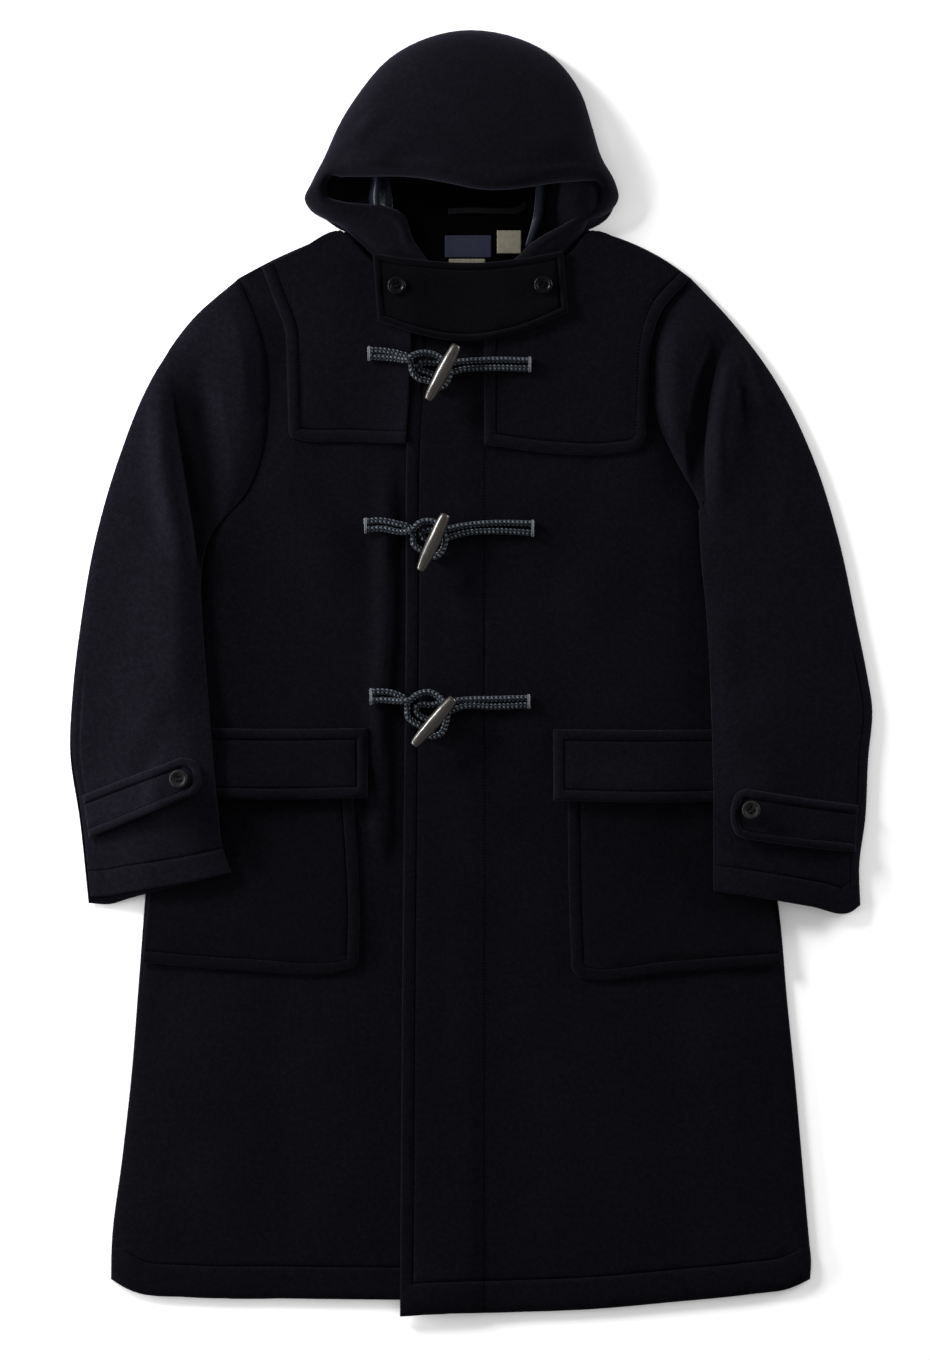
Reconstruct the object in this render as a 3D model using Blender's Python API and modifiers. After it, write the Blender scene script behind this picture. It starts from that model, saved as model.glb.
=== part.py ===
# A duffle coat in heavy melton, lying flat on its back with its front closed.
#
# Every size is in millimetres until an object is made. "across" runs from the
# centre line towards the wearer's left, "up" from the hem towards the hood,
# and "rise" is the height above the surface that the coat lies on. Panels are
# four-sided patches between edge tables, settled one on another from the back
# up, so each layer is made from what lies below it.

import math

import bpy
import numpy as np
from mathutils import Vector
from mathutils.bvhtree import BVHTree

mm = 0.001

# Driving sizes
coat_length = 1284.0        # hem to the top of the hood
centre_across = 0.9         # middle of the coat's full width
melton = 3.0                # main cloth
lining = 1.5                # neck lining
satin = 1.2                 # hood lining
tape = 0.9                  # labels
seam_gap = 0.4              # between pieces that are sewn edge to edge
armhole_gap = 0.9
underarm_slack = 1.9        # more of that gap at the bottom of the armhole
slack_height = 130.0        # that slack ends this far above beside_up
slack_fade = 50.0           # and fades out over this much
layer_gap = 0.4             # between a piece and what it lies on
overlap_gap = 0.7           # between the left front and the right one under it
tab_gap = 0.9               # between the throat tab and what it closes
strap_gap = 0.6             # between a cuff strap and its sleeve
hanging_gap = 0.9           # between a sleeve and the body that it lies over
sleeve_gap = 0.3            # between the two layers of a sleeve
hidden_inset = 1.2          # the back and the hood's back stay inside the front's outline
underarm_up = 785.0         # below this line a sleeve is lifted over the body
beside_up = 735.0           # above this line it stays beside the body
floor_snap = 0.6            # a sleeve this near the surface lies on it
body_fullness = 1.6
sleeve_fullness = 3.4
hanger_wall = 1.6           # doubled tape
hanger_lift = 2.5           # the loop stands this far off the lining
cord_radius = 3.2
cord_step = 7.5             # between the points of a cord's path
cord_margin = 1.5           # a cord also clears what lies this far beside it
strand_spread = 7.4         # between the two strands of a cord
strand_slack = 0.4          # more of that where the strands run free
crossing_gap = 2 * cord_radius + 1.4   # between the middles of cords that cross
toggle_length = 62.0
sky = 400.0                 # where the rays that find a lower piece start
turned_steps = 14           # sides of a button or a toggle
armhole_steps = 13          # shared by the sleeves and the body, so their edges run together
sleeve_rows = 20            # from the cuff to the armhole
body_rows = (10, 5, armhole_steps)   # from the hem to the hip, the underarm and the shoulder
body_borders = (0.2, 0.1)   # shares of a front, across and up, over which its fullness grows
sleeve_borders = (0.25, 0.08)

# Colours: red, green, blue, roughness, metallic
finishes = {
    "melton": (0.012, 0.012, 0.020, 0.95, 0.0),
    "lining": (0.004, 0.004, 0.004, 0.80, 0.0),
    "satin": (0.030, 0.045, 0.070, 0.35, 0.0),
    "label": (0.200, 0.260, 0.400, 0.80, 0.0),
    "cream": (0.700, 0.660, 0.560, 0.80, 0.0),
    "horn": (0.160, 0.130, 0.100, 0.40, 0.0),
    "cord": (0.030, 0.040, 0.060, 0.85, 0.0),
    "button": (0.020, 0.020, 0.024, 0.40, 0.0),
}

# Edges of the main panels: (across, up) in each row. A row given twice is a corner.
side_right = [(-359, 37), (-358, 76), (-348, 156), (-339, 236), (-331, 336), (-323, 436),
              (-310, 536), (-294, 616), (-278, 691), (-278, 691), (-271, 726), (-269, 757), (-259, 783),
              (-244, 801)]
armhole_right = [(-244, 801), (-223, 827), (-209, 864), (-202, 903), (-202, 933), (-209, 979),
                 (-218, 1006), (-232, 1037)]
shoulder_right = [(-232, 1037), (-196, 1056), (-151, 1076), (-129, 1086)]
neckline_right = [(-129, 1086), (-100, 1058.6), (-65, 1031.6), (-29, 1019.5), (-2, 1017)]
hem_right = [(-359, 37), (-340, 26), (-280, 19), (-200, 18), (-120, 17), (-2, 16)]
hidden_front_edge = [(-2, 16), (-2, 400), (-2, 1017)]

side_left = [(340, 37), (341, 54), (339, 76), (332, 156), (325, 236), (317, 316), (310, 396),
             (300, 466), (287, 536), (270, 606), (254, 676), (254, 676), (242, 716), (236, 746), (233.5, 776),
             (231, 806)]
armhole_left = [(231, 806), (226, 820), (214, 841), (201, 866), (188, 897), (180, 931), (183, 973),
                (193, 1003), (221, 1037)]
shoulder_left = [(221, 1037), (194, 1056), (153, 1076), (120, 1086)]
neckline_left = [(-57, 1026), (-29, 1018.5), (10, 1018.5), (50, 1027.5), (82, 1047.5),
                 (102, 1066), (120, 1086)]
hem_left = [(-70, 0), (-40, 2), (40, 4), (120, 7), (200, 14), (280, 22), (320, 28), (340, 37)]
hem_back = [(-357, 38), (-280, 21), (-100, 19), (-20, 13), (60, 8), (120, 10), (200, 17), (280, 25),
            (338, 39)]
front_edge = [(-70, 0), (-67, 400), (-64, 700), (-63, 872), (-57, 976), (-57, 1026)]
back_neck = [(-129, 1085), (-60, 1090), (0, 1092), (60, 1090), (119, 1085)]

sleeve_right_outer = [(-381, 413), (-390, 496), (-400, 566), (-398, 616), (-389, 696), (-375, 776),
                      (-352, 856), (-319, 936), (-278, 996), (-232, 1037)]
sleeve_right_inner = [(-238, 444), (-246, 466), (-252, 516), (-258, 576), (-265, 656), (-269, 696),
                      (-273, 736), (-272, 757), (-261, 784), (-245, 801)]
sleeve_right_cuff = [(-381, 413), (-360, 412), (-340, 418), (-290, 431), (-238, 444)]
sleeve_left_outer = [(390, 411), (389, 451), (395, 496), (398, 556), (402, 611), (398, 636),
                     (386, 696), (369, 776), (344, 856), (305, 936), (260, 996), (221, 1037)]
sleeve_left_inner = [(243, 426), (243, 516), (242, 616), (241, 650), (240, 716), (239, 746),
                     (236.5, 776), (231.5, 806)]
sleeve_left_cuff = [(243, 426), (290, 419), (340, 410), (380, 404), (390, 411)]

# Outer rim of the hood: its back lies inside this line.
hood_base = [(-164, 1117), (-144, 1097), (-129, 1086.5), (-129, 1086.5), (-60, 1091), (0, 1093),
             (60, 1091), (118, 1086.5), (118, 1086.5), (137, 1098), (147, 1118)]
hood_west = [(-164, 1117), (-157, 1133), (-145, 1156), (-132, 1186)]
hood_crest = [(-132, 1186), (-114, 1216), (-80, 1256), (-40, 1277), (1, 1284), (50, 1275),
              (84, 1256), (110, 1222), (122, 1186)]
hood_east = [(147, 1118), (144, 1132), (131, 1156), (122, 1186)]

# The hood's outer cloth, a row for each section from the wearer's left of the
# throat over the crown to the right: where the section leaves the rim, where
# it ends at the face edge, and how high the face edge stands.
hood_columns = ("rim_across", "rim_up", "face_across", "face_up", "rise")
hood_sections = [
    (-18, 1022, -18, 1034, 6),
    (20, 1024, 16, 1037, 6),
    (54, 1034, 38, 1046, 6),
    (77, 1049, 53, 1060, 7),
    (93, 1063, 61, 1072, 8),
    (103, 1074, 75, 1084, 9),
    (111, 1084, 92, 1093, 10),
    (117, 1092, 108, 1100, 11),
    (130, 1099, 120, 1106, 12),
    (139, 1105, 129, 1112, 13),
    (147, 1118, 134, 1122, 14),
    (144, 1132, 133, 1132, 17),
    (131, 1156, 122, 1140, 22),
    (122, 1186, 107, 1142, 29),
    (110, 1222, 86, 1140, 36),
    (84, 1256, 62, 1136, 42),
    (50, 1275, 35, 1133, 45),
    (1, 1284, 5, 1134, 46),
    (-40, 1277, -25, 1140, 45),
    (-80, 1256, -55, 1145, 41),
    (-114, 1216, -86, 1146.5, 35),
    (-132, 1186, -114, 1146, 28),
    (-145, 1156, -133, 1143, 22),
    (-157, 1133, -145, 1136, 17),
    (-164, 1117, -149, 1124, 14),
    (-158, 1106, -145, 1115, 13),
    (-143, 1097, -131, 1109, 13),
    (-128, 1090, -112, 1102, 12),
    (-113, 1078, -89, 1094, 11),
    (-97, 1063, -72, 1082, 10),
    (-81, 1050, -57, 1063, 8),
    (-63, 1036, -45, 1048, 7),
    (-40, 1026, -34, 1037, 6),
]
hood_rings = 8

# Soft folds: a ridge along a line from one end to the other, and its half width.
fold_columns = ("across_0", "up_0", "across_1", "up_1", "half_width", "rise")
body_folds = [
    (-195, 860, -120, 700, 45, 1.4),
    (175, 860, 110, 690, 45, 1.4),
    (-250, 330, -230, 40, 60, 1.5),
    (-150, 420, -130, 60, 55, 1.2),
    (150, 330, 165, 40, 60, 1.4),
    (250, 320, 270, 60, 55, 1.5),
]
sleeve_right_ridges = [
    (-308, 936, -300, 770, 36, 6.0),
    (-228, 940, -232, 860, 20, 2.0),
]
sleeve_left_ridges = [
    (268, 946, 264, 760, 34, 6.0),
    (203, 950, 207, 880, 16, 2.0),
]
# The creases under the arms, where a sleeve's top comes down onto its under layer.
sleeve_right_creases = [
    (-272, 956, -281, 893, 22, 1.0),
    (-281, 893, -268, 775, 24, 1.0),
    (-330, 560, -285, 600, 26, 0.6),
]
sleeve_left_creases = [
    (240, 962, 230, 880, 20, 1.0),
    (230, 880, 236, 790, 20, 1.0),
    (330, 570, 285, 620, 26, 0.6),
]

# Pieces on top: the four edges of each.
yoke_right = {
    "south": [(-181, 884), (-179, 878), (-172, 876), (-120, 874), (-64, 872)],
    "north": [(-208, 1048), (-170, 1066), (-130, 1084.5), (-130, 1084.5), (-101, 1057), (-66, 1030),
              (-58, 1027)],
    "west": [(-181, 884), (-183, 949), (-185, 986), (-196, 1016), (-208, 1048)],
    "east": [(-64, 872), (-58, 976), (-58, 1027)],
}
yoke_left = {
    "south": [(14, 871), (87, 862), (146, 862), (168, 867), (176, 880)],
    "north": [(14, 1017), (50, 1026), (82, 1046), (102, 1064), (120, 1084), (120, 1084), (153, 1074.5),
              (194, 1054.5), (219, 1036)],
    "west": [(14, 871), (14, 1017)],
    "east": [(176, 880), (178, 929), (181, 973), (191, 1004), (219, 1036)],
}
throat_tab = {
    "south": [(-92, 994), (-50, 980), (0, 974), (50, 983), (98, 1003)],
    "north": [(-97, 1061), (-50, 1055), (0, 1052), (50, 1056), (93, 1064)],
    "west": [(-92, 994), (-97, 1061)],
    "east": [(98, 1003), (93, 1064)],
}
pocket_right = {
    "south": [(-327, 354), (-220, 346), (-125, 345), (-117, 347)],
    "north": [(-304, 548), (-118, 548)],
    "west": [(-327, 354), (-319, 436), (-304, 548)],
    "east": [(-117, 347), (-112, 354), (-111, 368), (-118, 548)],
}
pocket_left = {
    "south": [(108, 340), (116, 338), (200, 344), (311, 352)],
    "north": [(97, 546), (282, 546)],
    "west": [(108, 340), (102, 347), (101, 362), (97, 546)],
    "east": [(311, 352), (299, 440), (282, 546)],
}
flap_right = {
    "south": [(-308, 520), (-200, 517), (-102, 519)],
    "north": [(-295, 589), (-200, 587), (-102, 588)],
    "west": [(-308, 520), (-295, 589)],
    "east": [(-102, 519), (-102, 588)],
}
flap_left = {
    "south": [(83, 516), (180, 514), (286, 516)],
    "north": [(83, 587), (180, 586), (270, 587)],
    "west": [(83, 516), (83, 587)],
    "east": [(286, 516), (270, 587)],
}
cuff_strap_right = {
    "south": [(-380, 478), (-325, 501), (-282, 519)],
    "north": [(-387, 521), (-335, 541), (-287, 559)],
    "west": [(-380, 478), (-387, 521)],
    "east": [(-282, 519), (-269, 529), (-270, 549), (-287, 559)],
}
cuff_strap_left = {
    "south": [(274, 478), (330, 470), (385, 464)],
    "north": [(274, 528), (330, 519), (388, 511)],
    "west": [(274, 478), (262, 490), (262, 517), (274, 528)],
    "east": [(385, 464), (388, 511)],
}
neck_lining = {
    "south": [(-55, 1042), (-29, 1034), (10, 1034), (45, 1041)],
    "north": [(-86, 1130), (76, 1130)],
    "west": [(-55, 1042), (-74, 1070), (-84, 1095), (-86, 1130)],
    "east": [(45, 1041), (60, 1064), (74, 1094), (76, 1130)],
}
hood_lining_right = {
    "south": [(-94, 1096), (-66, 1086)],
    "north": [(-96, 1139), (-70, 1139)],
    "west": [(-94, 1096), (-98, 1116), (-96, 1139)],
    "east": [(-66, 1086), (-68, 1112), (-70, 1139)],
}
hood_lining_left = {
    "south": [(53, 1069), (62, 1071)],
    "north": [(61, 1130), (76, 1130)],
    "west": [(53, 1069), (60, 1101), (61, 1130)],
    "east": [(62, 1071), (72, 1096), (76, 1130)],
}
hanger_loop = {
    "south": [(-22, 1101), (0, 1102), (30, 1101.5), (50, 1103), (58, 1109)],
    "north": [(-22, 1107), (0, 1108), (30, 1107.5), (48, 1109), (56, 1115)],
    "west": [(-22, 1101), (-22, 1107)],
    "east": [(58, 1109), (56, 1115)],
}
label_columns = ("name", "across_0", "up_0", "across_1", "up_1", "turn", "finish")
labels = [
    ("label_main", -25, 1058, 21, 1080, 0.0, "label"),
    ("label_side", 27, 1062, 51, 1085, 2.0, "cream"),
    ("label_size", -21, 1047, 15, 1056.5, 0.0, "cream"),
]

# Three fastenings: the ends of the cords, where the loop's strands meet, and the toggle's ends.
fastening_columns = ("loop_end", "pinch", "toggle_top", "toggle_foot", "cord_end", "cord_entry")
fastenings = [
    ((-103, 962), (-60, 954), (-13, 969), (-42, 914), (61, 949), (-8, 952)),
    ((-106, 793), (-58, 784), (-24, 801), (-49, 746), (64, 788), (-16, 785)),
    ((-101, 622), (-62, 616), (-15, 616), (-56, 570), (60, 613), (-10, 612)),
]
toggle_profile_columns = ("along", "radius")
toggle_profile = [(0, 4.6), (4, 5.6), (16, 6.4), (31, 6.8), (46, 6.3), (58, 5.4), (toggle_length, 4.6)]

# The loop's way round its toggle: shares of the toggle's length, and how far to its side.
loop_route_columns = ("share", "aside")
loop_route = [(0.22, -17), (0.16, -4), (0.30, 8.5), (0.52, 10.5), (0.76, 6.5), (0.90, -5), (0.76, -16)]
# Where the toggle's own cord turns back, and the shape of that turn in half spreads and millimetres.
turn_place = (0.50, -9.0)
turn_back_columns = ("half_spreads", "inward")
turn_back = [(-1.0, -2.0), (-0.8, 2.2), (0.0, strand_spread / 2), (0.8, 2.2), (1.0, -2.0)]

button_columns = ("name", "across", "up", "rests_on")
buttons = [
    ("tab_button_right", -73, 1029, "throat_tab"),
    ("tab_button_left", 73, 1030, "throat_tab"),
    ("cuff_button_right", -289, 538, "cuff_strap_right"),
    ("cuff_button_left", 279, 507, "cuff_strap_left"),
]
button_radius = 9.2
button_profile_columns = ("radius", "height")
button_profile = [(0, 2.2), (5.4, 2.2), (6.4, 3.4), (8.2, 3.4), (button_radius, 2.4),
                  (button_radius, 0.9), (8.2, 0), (0, 0)]

# The satin curtains at the sides of the hood's mouth: how high the outer side
# hangs, and the share of its length over which it gets there.
curtain_right = {"rise": 14.0, "grown_by": 0.4}
curtain_left = {"rise": 9.0, "grown_by": 0.5}

solids = {}


def start():
    for thing in list(bpy.data.objects):
        bpy.data.objects.remove(thing, do_unlink=True)
    group = bpy.data.collections.new("duffle_coat")
    bpy.context.scene.collection.children.link(group)
    return group


def finish_material(name):
    if name in bpy.data.materials:
        return bpy.data.materials[name]
    red, green, blue, roughness, metallic = finishes[name]
    material = bpy.data.materials.new(name)
    material.use_nodes = True
    shader = material.node_tree.nodes["Principled BSDF"]
    shader.inputs["Base Color"].default_value = (red, green, blue, 1.0)
    shader.inputs["Roughness"].default_value = roughness
    shader.inputs["Metallic"].default_value = metallic
    return material


def placed(point):
    """A point of the coat, in metres, with the origin under the middle of its outline."""
    across, up, rise = point
    return ((across - centre_across) * mm, (up - coat_length / 2) * mm, rise * mm)


def add_object(name, data, finish):
    data.materials.append(finish_material(finish))
    thing = bpy.data.objects.new(name, data)
    group.objects.link(thing)
    return thing


def smooth_run(rows, steps):
    """Points on a smooth line through the rows, with steps between each two."""
    rows = np.array(rows, float)
    if len(rows) == 2:
        share = np.linspace(0, 1, steps + 1)[:, None]
        return rows[0] * (1 - share) + rows[1] * share
    along = np.concatenate([[0], np.cumsum(np.linalg.norm(np.diff(rows, axis=0), axis=1))])
    slope = np.gradient(rows, along, axis=0)
    points = []
    for k in range(len(rows) - 1):
        reach = along[k + 1] - along[k]
        for t in np.linspace(0, 1, steps, endpoint=False):
            points.append((2 * t**3 - 3 * t**2 + 1) * rows[k] + (t**3 - 2 * t**2 + t) * reach * slope[k]
                          + (3 * t**2 - 2 * t**3) * rows[k + 1] + (t**3 - t**2) * reach * slope[k + 1])
    points.append(rows[-1])
    return np.array(points)


class Edge:
    """A smooth edge through the rows of a table, moved sideways to its left by aside."""

    def __init__(self, rows, aside=0.0, steps=10):
        runs, run = [], [rows[0]]
        for row in rows[1:]:
            if tuple(row) == tuple(run[-1]):
                runs.append(run)
                run = [row]
            else:
                run.append(row)
        runs.append(run)
        pieces = [smooth_run(run, steps) for run in runs]
        points = np.concatenate([pieces[0]] + [piece[1:] for piece in pieces[1:]])
        along = np.concatenate([[0], np.cumsum(np.linalg.norm(np.diff(points, axis=0), axis=1))])
        self.share = along / along[-1]
        ends = np.cumsum([len(piece) - 1 for piece in pieces])[:-1]
        self.corners = [self.share[k] for k in ends]
        if aside:
            way = np.gradient(points, axis=0)
            way /= np.linalg.norm(way, axis=1)[:, None]
            points = points + aside * np.stack([-way[:, 1], way[:, 0]], axis=1)
        self.points = points

    def at(self, shares):
        return np.stack([np.interp(shares, self.share, self.points[:, k]) for k in (0, 1)], axis=1)


def stations(counts, corners):
    """Shares along an edge, with a count of steps for each stretch between corners."""
    if isinstance(counts, int):
        shares = np.linspace(0, 1, counts + 1)
        for corner in corners:
            shares[1 + np.argmin(abs(shares[1:-1] - corner))] = corner
        return shares
    ends = [0.0] + list(corners) + [1.0]
    stretches = [np.linspace(low, high, count, endpoint=False)
                 for low, high, count in zip(ends, ends[1:], counts)]
    return np.concatenate(stretches + [[1.0]])


def paired_stations(counts, first, second):
    """Stations on two facing edges: an edge without corners takes the other's."""
    return (stations(counts, first.corners or second.corners),
            stations(counts, second.corners or first.corners))


def patch(south, north, west, east, columns, rows):
    """Points between four edges: south and north run east, west and east run north."""
    low_shares, high_shares = paired_stations(columns, south, north)
    left_shares, right_shares = paired_stations(rows, west, east)
    across, along = (low_shares + high_shares) / 2, (left_shares + right_shares) / 2
    low, high = south.at(low_shares), north.at(high_shares)
    left, right = west.at(left_shares), east.at(right_shares)
    v = along[:, None]
    left = left + (1 - v) * (low[0] - left[0]) + v * (high[0] - left[-1])
    right = right + (1 - v) * (low[-1] - right[0]) + v * (high[-1] - right[-1])
    u, v = across[None, :, None], along[:, None, None]
    corners = ((1 - u) * (1 - v) * low[0] + u * (1 - v) * low[-1]
               + (1 - u) * v * high[0] + u * v * high[-1])
    points = (1 - v) * low[None] + v * high[None] + (1 - u) * left[:, None] + u * right[:, None] - corners
    return points, across, along


def table_patch(table, columns, rows):
    edges = [Edge(table[side]) for side in ("south", "north", "west", "east")]
    return patch(*edges, columns, rows)


def fade(shares, border):
    """Nought at both ends of a row of shares, one beyond the border."""
    t = np.clip(np.minimum(shares, 1 - shares) / border, 0, 1)
    return t * t * (3 - 2 * t)


def fold_rise(points, folds):
    """The summed ridges of a fold table at each point."""
    total = np.zeros(points.shape[:2])
    for row in folds:
        fold = dict(zip(fold_columns, row))
        tail = np.array([fold["across_0"], fold["up_0"]])
        way = np.array([fold["across_1"], fold["up_1"]]) - tail
        share = np.clip(((points - tail) @ way) / (way @ way), 0, 1)
        gap = np.linalg.norm(points - tail - share[..., None] * way, axis=2) / fold["half_width"]
        total += fold["rise"] * np.clip(1 - gap**2, 0, 1) ** 2
    return total


def top_of(names):
    """A function that gives the rise of the named solids at a point, or none."""
    vertices, faces = [], []
    for name in names:
        piece_vertices, piece_faces = solids[name]
        faces += [tuple(k + len(vertices) for k in face) for face in piece_faces]
        vertices += [tuple(vertex) for vertex in piece_vertices]
    tree = BVHTree.FromPolygons(vertices, faces)

    def rise(across, up):
        hit = tree.ray_cast(Vector((across, up, sky)), Vector((0, 0, -1)))[0]
        return None if hit is None else hit.z

    return rise


def needed_rise(point, below, gap, reach, limit, least=0.0):
    """The lowest that cloth can lie at a point, clear of what is within reach of it."""
    need = least
    ring = [(0.0, 0.0)] + [(reach * math.cos(k * math.pi / 4), reach * math.sin(k * math.pi / 4))
                           for k in range(8)]
    for side, along in ring:
        if point[1] + along < limit:
            found = below(point[0] + side, point[1] + along)
            if found is not None:
                need = max(need, found + gap)
    return need


def settle(points, names, gap=layer_gap, reach=6.0, passes=2, limit=coat_length, least=0.0):
    """Lays cloth over the named solids: never lower than they need, and smoothed where free."""
    below = top_of(names)
    need = np.array([[needed_rise(point, below, gap, reach, limit, least) for point in row]
                     for row in points])
    rise = need.copy()
    for _ in range(passes):
        wide = np.pad(rise, 1, mode="edge")
        mean = (wide[:-2, 1:-1] + wide[2:, 1:-1] + wide[1:-1, :-2] + wide[1:-1, 2:]) / 4
        rise = np.maximum(need, mean)
    return rise


def slab(name, lower, upper, finish):
    """A closed wall between two grids of points, which run east and then north."""
    rows, columns = lower.shape[:2]
    count = rows * columns
    vertices = np.concatenate([lower.reshape(count, 3), upper.reshape(count, 3)])
    faces = []
    for i in range(rows - 1):
        for j in range(columns - 1):
            a, b = i * columns + j, i * columns + j + 1
            c, d = b + columns, a + columns
            faces += [(a + count, b + count, c + count), (a + count, c + count, d + count)]
            faces += [(a, c, b), (a, d, c)]
    rim = list(range(columns))
    rim += [i * columns + columns - 1 for i in range(1, rows)]
    rim += [(rows - 1) * columns + j for j in range(columns - 2, -1, -1)]
    rim += [i * columns for i in range(rows - 2, 0, -1)]
    for a, b in zip(rim, rim[1:] + rim[:1]):
        faces += [(a, b, b + count), (a, b + count, a + count)]
    solids[name] = (vertices, faces)
    mesh = bpy.data.meshes.new(name)
    mesh.from_pydata([placed(vertex) for vertex in vertices], [], faces)
    mesh.validate()
    add_object(name, mesh, finish)


def sheet(name, points, rise, wall, finish):
    lower = np.concatenate([points, rise[..., None]], axis=2)
    upper = lower + np.array([0.0, 0.0, wall])
    slab(name, lower, upper, finish)


def make_back():
    south = Edge(hem_back)
    north = Edge(shoulder_right[:-1] + [(-129, 1085)] + back_neck + [(119, 1085)]
                 + shoulder_left[::-1][1:], aside=-hidden_inset)
    west = Edge(side_right + armhole_right, aside=-hidden_inset)
    east = Edge(side_left + armhole_left, aside=hidden_inset)
    points, _, _ = patch(south, north, west, east, columns=6, rows=body_rows)
    sheet("back", points, np.zeros(points.shape[:2]), melton, "melton")


def make_hood_back():
    south = Edge(hood_base, aside=seam_gap)
    north = Edge(hood_crest, aside=-hidden_inset)
    west = Edge(hood_west, aside=-hidden_inset)
    east = Edge(hood_east, aside=hidden_inset)
    points, _, _ = patch(south, north, west, east, columns=12, rows=5)
    sheet("hood_back", points, np.zeros(points.shape[:2]), melton, "melton")


def fullness(points, u, v):
    """How far a front stands off the back between its borders."""
    grown = fade(u, body_borders[0])[None] * fade(v, body_borders[1])[:, None]
    return (body_fullness + fold_rise(points, body_folds)) * grown


def make_front_right():
    points, u, v = patch(Edge(hem_right), Edge(shoulder_right + neckline_right),
                         Edge(side_right + armhole_right), Edge(hidden_front_edge),
                         columns=9, rows=body_rows)
    rise = melton + layer_gap + fullness(points, u, v)
    sheet("front_right", points, rise, melton, "melton")


def make_front_left():
    points, u, v = patch(Edge(hem_left), Edge(neckline_left + shoulder_left[::-1]),
                         Edge(front_edge), Edge(side_left + armhole_left), columns=13, rows=body_rows)
    on_back = melton + layer_gap
    on_front = settle(points, ["front_right"], gap=overlap_gap, reach=20.0, passes=1, least=on_back)
    rise = np.maximum(on_back + fullness(points, u, v), on_front)
    sheet("front_left", points, rise, melton, "melton")


def make_hood():
    """The hood's outer cloth: a quarter ellipse from the rim to the face edge at each section."""
    angles = np.linspace(0, math.pi / 2, hood_rings + 1)
    base = melton + layer_gap
    inner, outer = [], []
    for angle in angles:
        inner_row, outer_row = [], []
        for row in hood_sections:
            section = dict(zip(hood_columns, row))
            rim = np.array([section["rim_across"], section["rim_up"]], float)
            face = np.array([section["face_across"], section["face_up"]], float)
            width = np.linalg.norm(rim - face)
            outside = face + (rim - face) * math.cos(angle)
            inside = face + (rim - face) * (1 - melton / width) * math.cos(angle)
            inner_row.append([*inside, base + section["rise"] * math.sin(angle)])
            outer_row.append([*outside, base + (section["rise"] + melton) * math.sin(angle)])
        inner.append(inner_row)
        outer.append(outer_row)
    slab("hood", np.array(inner), np.array(outer), "melton")


def make_curtain(name, table, columns, outward, curtain):
    """A satin curtain, whose outer side hangs higher; outward is its share towards that side."""
    points, u, v = table_patch(table, columns, rows=6)
    grown = np.clip(v[:, None] / curtain["grown_by"], 0, 1)
    rise = settle(points, ["back", "hood_back", "neck_lining"])
    rise += curtain["rise"] * outward(u)[None] ** 2 * grown
    sheet(name, points, rise, satin, "satin")


def make_neck():
    points, _, _ = table_patch(neck_lining, columns=6, rows=5)
    sheet("neck_lining", points, settle(points, ["back", "hood_back"], reach=1.0), lining, "lining")
    make_curtain("hood_lining_right", hood_lining_right, 5, lambda u: 1 - u, curtain_right)
    make_curtain("hood_lining_left", hood_lining_left, 4, lambda u: u, curtain_left)
    points, u, _ = table_patch(hanger_loop, columns=12, rows=1)
    rise = settle(points, ["neck_lining", "hood_back"], reach=1.0) + hanger_lift * fade(u, 0.3)[None]
    sheet("hanger_loop", points, rise, hanger_wall, "lining")
    for row in labels:
        make_label(dict(zip(label_columns, row)))


def make_label(label):
    centre = np.array([label["across_0"] + label["across_1"], label["up_0"] + label["up_1"]]) / 2
    half = np.array([label["across_1"] - label["across_0"], label["up_1"] - label["up_0"]]) / 2
    turn = math.radians(label["turn"])
    east = np.array([math.cos(turn), math.sin(turn)]) * half[0]
    north = np.array([-math.sin(turn), math.cos(turn)]) * half[1]
    u = np.linspace(-1, 1, 3)[None, :, None]
    v = np.linspace(-1, 1, 3)[:, None, None]
    points = centre + u * east + v * north
    rise = settle(points, ["neck_lining", "back", "hood_back"], reach=1.0, passes=0)
    sheet(label["name"], points, rise, tape, label["finish"])


def make_on_fronts():
    fronts = ["front_right", "front_left"]
    for name, table, columns, own in (("yoke_right", yoke_right, 8, fronts[:1]),
                                      ("yoke_left", yoke_left, 10, fronts)):
        points, _, _ = table_patch(table, columns, rows=9)
        sheet(name, points, settle(points, own, reach=8.0, passes=1), melton, "melton")
    points, _, _ = table_patch(throat_tab, columns=14, rows=5)
    lower = fronts + ["yoke_right", "yoke_left", "hood", "label_size"]
    rise = settle(points, lower, gap=tab_gap, reach=9.0, passes=2)
    sheet("throat_tab", points, rise, melton, "melton")
    for name, table in (("pocket_right", pocket_right), ("pocket_left", pocket_left)):
        points, _, _ = table_patch(table, columns=7, rows=7)
        sheet(name, points, settle(points, fronts, reach=10.0, passes=1), melton, "melton")
    for name, table, pocket in (("flap_right", flap_right, "pocket_right"),
                                ("flap_left", flap_left, "pocket_left")):
        points, _, _ = table_patch(table, columns=10, rows=5)
        sheet(name, points, settle(points, fronts + [pocket], reach=17.0, passes=1), melton, "melton")


def kept_beside(points, body_edge, outward):
    """Moves points off the body where they lie above beside_up; outward is -1 or 1 along across."""
    edge = Edge(body_edge).points
    wider = underarm_slack * np.clip((beside_up + slack_height - points[..., 1]) / slack_fade, 0, 1)
    least = np.interp(points[..., 1], edge[:, 1], edge[:, 0]) * outward + armhole_gap + wider
    near = (points[..., 1] > beside_up) & (points[..., 1] < body_edge[-1][1])
    across = np.where(near, np.maximum(points[..., 0] * outward, least), points[..., 0] * outward)
    return np.stack([across * outward, points[..., 1]], axis=2)


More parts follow.
